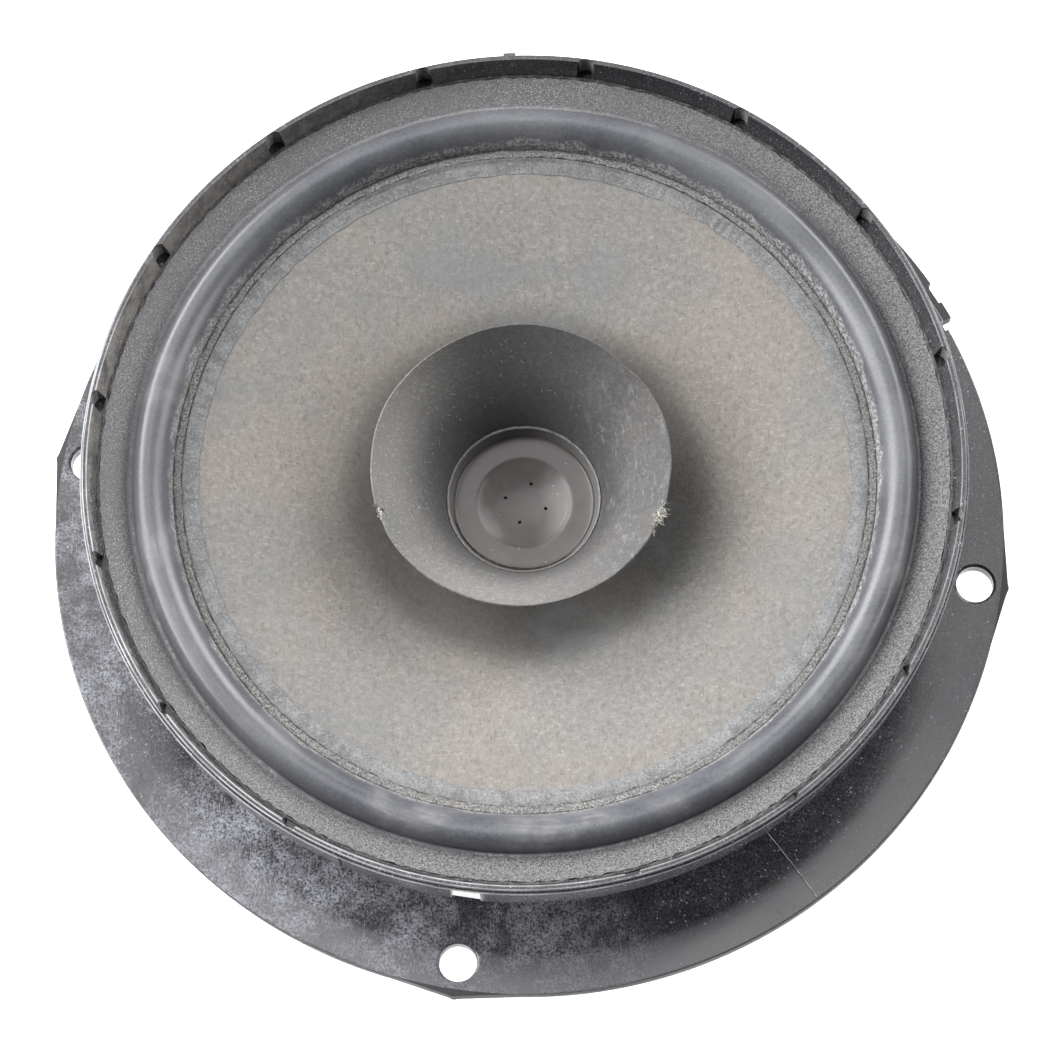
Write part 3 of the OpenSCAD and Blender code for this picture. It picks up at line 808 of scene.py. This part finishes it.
def make_basket():
    corners = [
        (RIM_IN_R, RIM_Z), (RIM_R, RIM_Z), (RIM_R, 43.2), (BEAD_R, 42.8), (BEAD_R, 42.3), (RIM_R, 41.9),
        (RIM_R, SKIRT_Z), (SKIRT_IN_R, SKIRT_Z), (SKIRT_IN_R, 36.2), (77.9, 33.3), (75.4, 30.0),
        (WALL_R, FLANGE_T), (FLANGE_R, FLANGE_T), (FLANGE_R, 0.0), (FLOOR_HOLE_R, 0.0),
        (FLOOR_HOLE_R, FLOOR_T), (71.1, FLOOR_T), (72.6, 4.5), (72.9, 26.0), (75.6, 31.5),
        LEDGE_IN, LEDGE_OUT,
    ]
    rounding = [
        0.12, 0.16, 0.1, 0.14, 0.14, 0.1, 0.3, 0.2, 0.5, 2, 3,
        0.6, 0.4, 0.3, 0.3, 0.3, 0.8, 0.8, 2, 1, 0.1, 0.15,
    ]
    basket = add_object("basket_moulding", *lathe_data(fillet(corners, rounding), 720))

    edge = FLANGE_R - 0.15
    half = math.acos(edge / 97.2)
    x, y = edge * math.cos(half), edge * math.sin(half)
    end = [(96.9, -0.9), (EAR_TIP_R, -0.25), (EAR_TIP_R, 0.25), (96.9, 0.9)]
    ear = prism_data([(88, -y), (x, -y), *end, (x, y), (88, y)], 0.02, FLANGE_T - 0.02)
    lug_arcs = ((97.4, 22.9, 25.2), (96.8, 25.2, 27.9), (97.7, 27.9, 36), (93.7, 36, 22.9))
    lug = [point for r, a0, a1 in lug_arcs for point in arc(r, a0, a1, 6)]
    motor_seat = fillet([(45, 1), (50, 1), (50, 11.6), (45, 11.6)], 0.3, 3)
    strap = box_data((83, -0.5, 33.2), (84.35, 0.5, 42))
    adders = [turned_part(ear, a) for a in BOLT_ANGLES]
    adders += [prism_data(lug, 0.2, FLANGE_T - 0.25), lathe_data(motor_seat, 360)]
    adders += [turned_part(strap, a) for a in STRAP_ANGLES]
    adders.append(turned_part(box_data((83.4, -1.2, 41), (85, 1.2, 43)), 88))
    boolean(basket, adders, "UNION")

    rib = box_data((49, -0.9, 1), (72.8, 0.9, 8))
    boolean(basket, [turned_part(rib, a + side * 21.6) for a in WINDOW_ANGLES for side in (-1, 1)], "UNION")

    worn_edge = [(HOLE_R, 2.75), (3.85, 2.98), (4.08, 3.14), (4.4, 3.25), (4.4, 4)]
    hole = [(0, -0.5), (3.75, -0.5), (HOLE_R, 0.3), *worn_edge, (0, 4)]
    cutters = [lathe_data(hole, 64, None, polar(BOLT_R, a)) for a in BOLT_ANGLES]
    cutters += [turned_part(prism_data(circle(82.1, 0, NOTCH_R, 40), 38.8, 45), a) for a in NOTCH_ANGLES]
    cutters += [turned_part(prism_data(sector(52, 70, -20, 20), -1, 4), a) for a in WINDOW_ANGLES]
    slot = [(83.0, 41.9), (86, 41.9), (86, 32), (81.85, 32), (81.85, 37.2), (83.0, 37.2)]
    points, faces = prism_data(slot, -2.7, 2.7)
    cutters.append((turned(points[:, [0, 2, 1]], SLOT_ANGLE), faces))
    cutters.append(turned_part(box_data((75.1, -3.2, -1), (77.5, 3.2, 4)), CORE_HOLE_ANGLE))
    cutters.append(turned_part(prism_data(sector(94.9, 100, -0.65, 0.65, 4), -1, 4), 22.25))
    cutters.append(lathe_data([(80, -1), (86, -1), (86, 1.2), (80, 1.2)], 360))
    cutters += [turned_part(prism_data(circle(SCREW_R, 0, 2.2, 32), -1, 4), a) for a in SCREW_ANGLES]
    cutters.append(box_data((-8.1, 56.9, -1), (8.1, 64.6, 4)))
    boolean(basket, cutters, "DIFFERENCE")
    smooth(basket, 32)
    weigh_normals(basket)
    hand_in(basket, PLASTIC, "frame", "basket_plastic", "basket")


make_basket()

# ---- gasket and rim glue


def ledge_at(r):
    return LEDGE_IN[1] + (LEDGE_OUT[1] - LEDGE_IN[1]) * (r - LEDGE_IN[0]) / (LEDGE_OUT[0] - LEDGE_IN[0])


def make_gasket():
    section = densify(fillet([(80.05, 0.0), (85.95, 0.0), (85.95, 1.15), (80.05, 1.15)], 0.35, 3), 1.2)

    def shape(r, phi, z):
        low = z < 0.6
        return r + 0.04 * ripple(phi, 3, 5, 60), z + low * 0.05 * np.abs(ripple(phi + r, 4, 20, 90))

    gasket = lathe("gasket_ring", section, 540, shape)
    hand_in(gasket, FOAM, "frame", "gasket_foam", "flange_gasket")


def make_rim_glue():
    corners = [(81.3, ledge_at(81.3)), (81.68, 38.55), (81.9, 39.35), (81.62, 39.3), (81.3, 39.05)]

    def shape(r, phi, z):
        top = ease(z, 38.7, 39.2)
        return r - 0.05 * top * (1 + ripple(phi, 11, 20, 160)), z + top * 0.16 * ripple(phi, 12, 30, 200)

    glue = lathe("rim_glue_bead", densify(corners, 0.25), 1080, shape)
    hand_in(glue, RIM_GLUE, "frame", "rim_glue", "surround_adhesive")


make_gasket()
make_rim_glue()

# ---- surround

FOOT_OUT = (FOOT_OUT_R, ledge_at(75.8) + 0.4)


def surround_line():
    """The surround's middle line from its outer edge to its lip."""
    line = [(r, ledge_at(r) + SURROUND_T / 2) for r in np.linspace(BAND_OUT, 76.0, 14)]
    for t in np.linspace(0, 1, 34):
        run = (1 - math.cos(math.pi * t)) / 2
        r, z = (a + (b - a) * run for a, b in zip(FOOT_OUT, FOOT_IN))
        line.append((r, z + ROLL_H * math.sin(math.pi * t)))
    return line + [(r, FOOT_IN[1]) for r in np.linspace(67.4, LIP_R, 5)]


def blend_weights(obj, weight):
    """Works out how far each point of a blended piece would follow the cone, from its place in millimetres;
    the values are not kept.
    """
    points = np.array([v.co for v in obj.data.vertices]) / MM
    values = np.clip(weight(points), 0, 1).astype(np.float32)


def make_surround():
    section = sheet(surround_line(), SURROUND_T)

    def shape(r, phi, z):
        out = ease(r, 80.7, 81.3)
        lip = ease(r, 66.7, 66.1)
        seam = np.exp(-(((r - 75.9) / 0.35) ** 2)) * (z > ledge_at(r) + 0.2)
        top = z > ledge_at(r)
        r = r + out * 0.13 * (ripple(phi, 21, 40, 220, 40) - 0.6) + lip * 0.16 * ripple(phi, 22, 10, 160, 40)
        z = z - seam * 0.12 + top * ease(r, 76.2, 76.8) * 0.035 * ripple(phi + r * 3, 23, 30, 160, 40)
        return r, z

    surround = lathe("surround_roll", section, 1080, shape)
    dress(surround, BAND, RUBBER, LIP)
    for face in surround.data.polygons:
        r = math.hypot(face.center[0], face.center[1]) / MM
        face.material_index = 0 if r > 75.95 else (1 if r > 67.75 else 2)
    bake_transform(surround)
    blend_weights(surround, lambda p: ease(-np.hypot(p[:, 0], p[:, 1]), -75.2, -68.0))
    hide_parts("surround")


make_surround()

# ---- cone, its glue and the whizzer


def cone_at(r):
    t = np.clip((r - CONE_NECK_R) / (CONE_CURVE_R - CONE_NECK_R), 0, 1)
    return CONE_NECK_Z + (CONE_Z - CONE_NECK_Z) * (1 - (1 - t) ** 1.3)


def make_cone():
    radii = list(np.linspace(CONE_NECK_R, CONE_CURVE_R, 64)) + [66.3, 66.9, CONE_R]
    face = [(r, cone_at(r)) for r in radii]
    section = face + [(r, z - CONE_T) for r, z in face[::-1]]

    def shape(r, phi, z):
        free = ease(r, 16.5, 22) * ease(-r, -65.5, -60)
        sway = 0.06 * ripple(phi, 31, 2, 7) * np.sin(r / 9) + 0.03 * ripple(phi, 32, 6, 26) * np.cos(r / 5)
        return r, z + free * sway

    cone = lathe("paper_cone", section, 540, shape)
    hand_in(cone, CONE, "cone_assembly", "cone_paper", "cone")


def make_edge_glue():
    radii = np.linspace(EDGE_GLUE_IN, EDGE_GLUE_OUT, 16)
    top = [(r, cone_at(r) + 0.12 + 0.2 * ease(r, 63.0, 65.0)) for r in radii]
    section = top + [(EDGE_GLUE_OUT, 33.95)] + [(r, cone_at(r) - 0.05) for r in radii[::-1]]

    def shape(r, phi, z):
        inner = ease(-r, -64.4, -63.0)
        dip = 0.05 * ripple(phi, 41, 60, 260, 40) * ease(r, EDGE_GLUE_IN, 63.6)
        rise = 0.5 * ease(r, 65.2, EDGE_GLUE_OUT) * near(phi, math.radians(105), 1.0)
        return r + inner * 0.14 * ripple(phi, 42, 8, 90, 40), z + (dip + rise) * (z > cone_at(r))

    glue = lathe("edge_glue_band", section, 1080, shape)
    hand_in(glue, EDGE_GLUE, "cone_assembly", "edge_glue", "cone_edge_adhesive")


def lean(obj):
    """The real neck and whizzer sit a little off the axis, towards the left and the front."""
    points = np.array([v.co for v in obj.data.vertices]) / MM
    z = points[:, 2]
    foot, ring, mouth = ease(z, 15.8, 17.2), ease(z, 18.3, 21.0), ease(z, 22, 39)
    points[:, 1] *= 1 - 0.012 * mouth
    points[:, 0] -= 0.45 * foot + 0.12 * mouth
    points[:, 1] -= (0.75 * foot + 0.35 * ring) * (1 - mouth)
    obj.data.vertices.foreach_set("co", (points * MM).ravel())
    return obj


def make_neck_rings():
    cone_ring = lathe(
        "neck_glue_fillet",
        densify([(14.7, 17.9), (15.4, 17.9), (15.46, 18.6), (15.15, 18.95), (14.7, 19.4)], 0.3),
        360,
        lambda r, phi, z: (r, z + 0.1 * ripple(phi, 51, 8, 50) * ease(z, 18.6, 19.2)),
    )
    hand_in(cone_ring, NECK_GLUE, "cone_assembly", "neck_glue", "cone_neck_adhesive")
    bead = lathe(
        "neck_bead",
        fillet([(14.9, 21.05), (14.62, 21.15), (14.7, 21.55), (15.05, 21.72), (15.25, 21.42)], 0.12, 3),
        360,
        lambda r, phi, z: (
            r + 0.04 * ripple(phi, 52, 6, 60) + (15.25 - r) * 0.75 * near(phi, -math.pi / 2, 0.8),
            z + 0.04 * ripple(phi, 53, 6, 60),
        ),
    )
    hand_in(lean(bead), BEAD_GLUE, "cone_assembly", "bead_glue", "neck_adhesive")


def flare_at(t):
    """The whizzer's inner face from its neck (0) to its mouth (1)."""
    return NECK_TOP_R + (WHIZZER_R - NECK_TOP_R) * t**1.22, NECK_TOP_Z + (WHIZZER_Z - NECK_TOP_Z) * t


def make_whizzer():
    flare = [flare_at(t) for t in np.linspace(0, 1, 44)]
    outer = [(r + 0.25, z - 0.6) for r, z in flare[2:]][::-1]
    rim = [(WHIZZER_R + out, WHIZZER_Z - down) for out, down in ((0.12, -0.02), (0.25, 0.1), (0.3, 0.35))]
    tube = [(13.2, 15.2), (13.2, 16.5), (13.9, 17.2), (13.9, 18.2), (14.9, 21.1)]
    back = [(15.25, 20.2), (14.7, 19.6), (14.7, 16.8), (14.0, 16.1), (14.0, 15.2)]
    section = tube + flare + rim + outer + back

    def shape(r, phi, z):
        up = ease(z, 24, WHIZZER_Z)
        lip = ease(z, WHIZZER_Z - 1.2, WHIZZER_Z)
        sway = 0.12 * ripple(phi, 61, 2, 6) + 0.04 * ripple(phi, 62, 6, 24)
        bite = lip * (1.2 * near(phi, CHIP, 0.03) + 0.45 * near(phi, CHIP + 0.06, 0.06))
        torn = lip * near(phi, FRAY, 0.075) * (0.5 + 0.45 * ripple(phi, 63, 90, 260))
        nick = lip * 0.05 * ripple(phi, 64, 40, 240, 40)
        sag = up * (sway - 0.4 * near(phi, DENT, 0.13))
        return r + sag + nick * 0.5 - bite * 0.8 - torn * 0.35, z + nick - bite - torn * 0.9

    whizzer = lean(lathe("whizzer_flare", section, 1080, shape))
    hand_in(whizzer, WHIZZER, "cone_assembly", "whizzer_paper", "whizzer_cone")


def heading(points, i):
    """Which way a line of points runs at one of them."""
    return (points[min(i + 1, len(points) - 1)] - points[max(i - 1, 0)]).normalized()


def strand_data(points, radius, sides=5):
    """A thin thread along some points, with closed ends."""
    points = [Vector(p) for p in points]
    verts = []
    for i, point in enumerate(points):
        along = heading(points, i)
        side = along.cross(Vector((0.31, 0.17, 0.93))).normalized()
        up = side.cross(along)
        r = radius[i] if isinstance(radius, list) else radius
        turns = [TURN * k / sides for k in range(sides)]
        verts += [point + r * (math.cos(a) * side + math.sin(a) * up) for a in turns]
    last = (len(points) - 1) * sides
    faces = [
        [i + k, i + (k + 1) % sides, i + sides + (k + 1) % sides, i + sides + k]
        for i in range(0, last, sides)
        for k in range(sides)
    ]
    return np.array(verts), faces + [list(range(sides))[::-1], list(range(last, last + sides))]


def make_frayed_fibres():
    """Loose pale fibres at the torn place on the whizzer's edge, and a few at the chip."""
    rng = np.random.default_rng(71)
    parts = []
    for centre, spread, count, length in ((FRAY, 0.055, 150, 1.5), (CHIP, 0.035, 36, 0.9)):
        for _ in range(count):
            a = centre + rng.normal(0, spread)
            r = WHIZZER_R + rng.uniform(-0.6, 0.1)
            z = WHIZZER_Z - rng.uniform(0.1, 1.0)
            start = Vector((r * math.cos(a), r * math.sin(a), z))
            out = Vector((math.cos(a), math.sin(a), 0))
            way = (out * rng.uniform(-0.2, 0.9) + Vector(rng.normal(0, 0.7, 3))).normalized()
            bend = Vector(rng.normal(0, 0.6, 3))
            span = length * rng.uniform(0.3, 1.0)
            line = [start + way * span * t + bend * span * t * t * 0.5 for t in (0, 0.3, 0.6, 1.0)]
            line = [Vector((p.x, p.y, min(p.z, 40.6))) for p in line]
            parts.append(strand_data(line, [0.06, 0.05, 0.04, 0.02], 4))
    fibres = gather("frayed_fibres", parts)
    look = Look("fray_fibre", (0.5, 0.49, 0.44), 0.9, specular=0.2)
    tone = look.noise(900, 2)
    look.color(mix(band(tone), (0.3, 0.29, 0.26), (0.74, 0.72, 0.64)))
    hand_in(smooth(lean(fibres)), look, "cone_assembly", "whizzer_paper")


def dish_at(r):
    """The dust cap's hollow middle."""
    return CAP_Z - CAP_SAG * (1 - (r / CAP_FOLD) ** 2)


def make_cap():
    dish = [(r, dish_at(r)) for r in np.linspace(0, 8.7, 16)]
    fold = [(9.0, 17.84), (9.25, 17.98), (9.5, 18.06), (9.8, 18.08), (10.3, 18.04), (11.4, 18.01)]
    lip = [(12.5, 18.0), (13.35, 18.02), (13.55, 18.1), (13.68, 18.26), (13.82, 18.24), (13.88, 18.05)]
    under = [(r, dish_at(r) - CAP_T) for r in np.linspace(9.0, 0, 10)]
    section = dish + fold + lip + [(13.8, 17.62), (9.6, 17.66)] + under
    cap = add_object("dust_cap_dish", *lathe_data(section, 240))
    pinholes = [prism_data(circle(*polar(4.15, 70 + 90 * k), 0.35, 20), 14, 20) for k in range(4)]
    boolean(cap, pinholes, "DIFFERENCE")
    smooth(lean(cap), 40)
    hand_in(cap, CAP, "cone_assembly", "cap_plastic", "dust_cap")


make_cone()
make_edge_glue()
make_neck_rings()
make_whizzer()
make_frayed_fibres()
make_cap()

# ---- coil, spider and motor


def make_spider():
    radii = np.linspace(SPIDER_IN, SPIDER_OUT, 150)
    phase = TURN * SPIDER_WAVES * (radii - SPIDER_IN) / (SPIDER_OUT - SPIDER_IN)
    neck = [(13.2, 12.35), (13.8, 12.35), (14.5, 12.3)]
    waves = list(zip(radii, SPIDER_Z + WAVE_H * np.sin(phase)))
    seat = [(r, SPIDER_Z) for r in (45.0, 47.0, 49.4)]
    spider = lathe("corrugated_spider", sheet(neck + waves + seat, SPIDER_T), 360)
    dress(spider, CLOTH)
    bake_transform(spider)
    blend_weights(spider, lambda p: (44.6 - np.hypot(p[:, 0], p[:, 1])) / 29.4)
    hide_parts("spider")


def make_motor():
    magnet = [(21, -20), (45, -20), (45, -5), (21, -5)]
    mark = [(27, MOTOR_Z), (26.6, MOTOR_Z + 0.25), (24.4, MOTOR_Z + 0.25), (24, MOTOR_Z)]
    back = [(8, -20), (43, -20), (43, -24), (42, MOTOR_Z), *mark, (8, MOTOR_Z)]
    pole = [(0, MOTOR_Z), (7.3, MOTOR_Z), (8, -24.3), (8, -20), (12, -20), (12, -0.3), (11.2, 0.5), (3, 0.5)]
    pole += [(2.4, 0.1), (0, 0.1)]
    back_rounding = [0.1, 0.2, 0.3, 0.3, 0.1, 0.1, 0.1, 0.1, 0.3]
    pole_rounding = [0, 0.1, 0.1, 0, 0, 0.2, 0.2, 0.1, 0.1, 0]
    for name, section, rounding, look, slot, node in (
        ("magnet_ring", magnet, 0.9, FERRITE, "ferrite", "magnet"),
        ("back_plate_disc", back, back_rounding, STEEL, "back_steel", "back_plate"),
        ("pole_piece_turned", pole, pole_rounding, POLE_STEEL, "pole_steel", "pole_piece"),
    ):
        ring = lathe(name, fillet(section, rounding, 3), 240)
        weigh_normals(ring)
        hand_in(ring, look, "frame", slot, node)


def bevelled_copy(node, name, width, look, slot):
    """The CAD node's shape with its edges eased."""
    mesh = nodes[node].data.copy()
    obj = bpy.data.objects.new(name, mesh)
    scene.collection.objects.link(obj)
    bm = bmesh.new()
    bm.from_mesh(mesh)
    bmesh.ops.remove_doubles(bm, verts=bm.verts, dist=2e-6)
    bmesh.ops.dissolve_limit(bm, angle_limit=0.02, verts=bm.verts, edges=bm.edges)
    bm.to_mesh(mesh)
    bm.free()
    mod = obj.modifiers.new("bevel", "BEVEL")
    mod.width = width * MM
    mod.segments = 2
    mod.limit_method = "ANGLE"
    mod.angle_limit = math.radians(40)
    smooth(obj, 50)
    weigh_normals(obj)
    hand_in(obj, look, "frame", slot, node)


make_spider()
make_motor()
for row in (
    ("connector_housing", "connector_body", 0.22, CONNECTOR, "connector_plastic"),
    ("terminal_positive", "blade_positive", 0.12, BRASS, "terminal_brass"),
    ("terminal_negative", "blade_negative", 0.12, BRASS, "terminal_brass"),
    ("motor_screws", "pan_head_screws", 0.25, SCREW_STEEL, "screw_steel"),
    ("top_plate", "top_plate_disc", 0.3, STEEL, "plate_steel"),
):
    bevelled_copy(*row)

LEAD_ROUTE = [
    (3.6, 60.1, 6.2), (3.6, 58.6, 8.4), (3.7, 56.5, 10.9), (3.8, 54.0, 13.2), (3.9, 51.0, 15.1),
    (4.0, 47.5, 16.5), (4.1, 43.5, 17.4), (4.2, 39.0, 17.8), (4.3, 34.5, 17.7), (4.3, 30.0, 17.2),
    (4.2, 26.0, 16.4), (4.1, 22.0, 15.5), (3.9, 18.5, 14.7), (3.7, 15.6, 14.2), (3.5, 13.6, 14.0),
]


def smooth_route(route, steps):
    """Points of a Catmull-Rom curve through the route."""
    p = [np.array(q, float) for q in route]
    p = [2 * p[0] - p[1]] + p + [2 * p[-1] - p[-2]]
    out = []
    for i in range(1, len(p) - 2):
        for k in range(steps):
            t = k / steps
            out.append(0.5 * (
                2 * p[i] + (p[i + 1] - p[i - 1]) * t
                + (2 * p[i - 1] - 5 * p[i] + 4 * p[i + 1] - p[i + 2]) * t**2
                + (3 * p[i] - p[i - 1] - 3 * p[i + 1] + p[i + 2]) * t**3
            ))
    return out + [p[-2]]


def make_lead(name, side, node):
    """A tinsel lead: six strands twisted round its centre line."""
    line = [Vector((side * x, y, z)) for x, y, z in smooth_route(LEAD_ROUTE, 12)]
    runs = [0.0]
    for a, b in zip(line, line[1:]):
        runs.append(runs[-1] + (b - a).length)
    parts = []
    for s in range(6):
        strand = []
        for i, point in enumerate(line):
            along = heading(line, i)
            up = along.cross(Vector((1, 0, 0))).normalized()
            a = TURN * (s / 6 + runs[i] / LEAD_PITCH)
            strand.append(point + 0.3 * (math.cos(a) * up.cross(along) + math.sin(a) * up))
        parts.append(strand_data(strand, 0.235, 6))
    lead = smooth(gather(name, parts), 60)
    dress(lead, BRAID)
    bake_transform(lead)
    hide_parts(node)


make_lead("tinsel_braid_positive", 1, "tinsel_lead_positive")
make_lead("tinsel_braid_negative", -1, "tinsel_lead_negative")

# ---- carried-over CAD nodes

for node, look in {
    "voice_coil_former": FILM,
    "former_collar": COLLAR,
    "voice_coil": COPPER,
    "coil_tails": COPPER,
    "spider_adhesive": SEAT_GLUE,
    "lead_solder_joints": SOLDER,
    "lead_anchor_beads": ANCHOR_GLUE,
}.items():
    dress(nodes[node], look)

# ---- lint and floor


def lint_look(name, dark, pale):
    look = Look(name, pale, 0.8, specular=0.2)
    look.color(mix(band(look.noise(600, 2)), dark, pale))
    return look


def make_lint():
    """One long straight fibre across the flange."""
    out = Vector((*polar(1, 302.2), 0))
    side = Vector((-out.y, out.x, 0))
    line = []
    for t in np.linspace(0, 1, 24):
        line.append(out * (78.5 + 16.6 * t) + side * 0.12 * math.sin(3.1 * t) + Vector((0, 0, 3.27)))
    look = lint_look("lint_white", (0.35, 0.35, 0.36), (0.7, 0.7, 0.7))
    hand_in(smooth(add_object("lint_fibre", *strand_data(line, 0.07))), look, "frame", "basket_plastic")


def make_flange_lint():
    """Short curled fibres lying on the flange, most of them on the left."""
    rng = np.random.default_rng(81)
    parts = []
    holes = [Vector((*polar(BOLT_R, a), LINT_Z)) for a in BOLT_ANGLES]
    while len(parts) < 900:
        a = rng.choice((rng.normal(225, 26), rng.uniform(165, 375)))
        middle = Vector((*polar(rng.uniform(86.0, 94.8), a), LINT_Z))
        if min((middle - hole).length for hole in holes) < 5.6:
            continue
        way = rng.uniform(0, TURN)
        curl = rng.normal(0, 0.9)
        half = rng.uniform(0.12, 0.6)
        line = [middle]
        for step in range(4):
            way += curl * 0.3
            line.append(line[-1] + Vector((math.cos(way), math.sin(way), 0)) * half * 0.5)
        parts.append(strand_data(line, [0.02, 0.03, 0.03, 0.03, 0.02], 3))
    look = lint_look("lint_grey", (0.2, 0.2, 0.22), (0.5, 0.51, 0.54))
    hand_in(smooth(gather("flange_lint", parts)), look, "frame", "basket_plastic")


def make_whizzer_lint():
    """Fibres standing and lying on the whizzer's inner face."""
    rng = np.random.default_rng(82)
    parts = []
    for _ in range(420):
        a = math.radians(rng.choice((rng.normal(215, 40), rng.uniform(0, 360))))
        t = rng.uniform(0.3, 0.97)
        way, curl, half = rng.uniform(0, TURN), rng.normal(0, 0.8), rng.uniform(0.2, 0.7)
        line = []
        for step in range(4):
            r, z = flare_at(min(t, 0.985))
            lift = 0.05 + 0.05 * step * rng.random()
            line.append(Vector(((r - lift) * math.cos(a), (r - lift) * math.sin(a), z + 0.3 * lift)))
            way += curl * 0.3
            a += math.cos(way) * half / 2.2 / r
            t += math.sin(way) * half / 2.2 / 22
        parts.append(strand_data(line, [0.02, 0.03, 0.03, 0.02], 3))
    look = lint_look("lint_pale", (0.22, 0.215, 0.21), (0.48, 0.47, 0.45))
    hand_in(smooth(lean(gather("whizzer_lint", parts))), look, "cone_assembly", "whizzer_paper")


make_lint()
make_flange_lint()
make_whizzer_lint()


def make_floor():
    corners = [(-2500, -2500), (2500, -2500), (2500, 2500), (-2500, 2500)]
    floor = add_object("floor", [(x, y, MOTOR_Z) for x, y in corners], [[0, 1, 2, 3]])
    look = Look("pale_floor", (0.85, 0.85, 0.85), 0.8, specular=0.1)
    look.put("Emission Color", (1.0, 1.0, 1.0, 1))
    look.put("Emission Strength", 0.75)
    tone = look.noise(8, 2)
    look.color(mix(band(tone, 0.3, 0.7), (0.84, 0.84, 0.84), (0.87, 0.87, 0.87)))
    dress(floor, look)


make_floor()
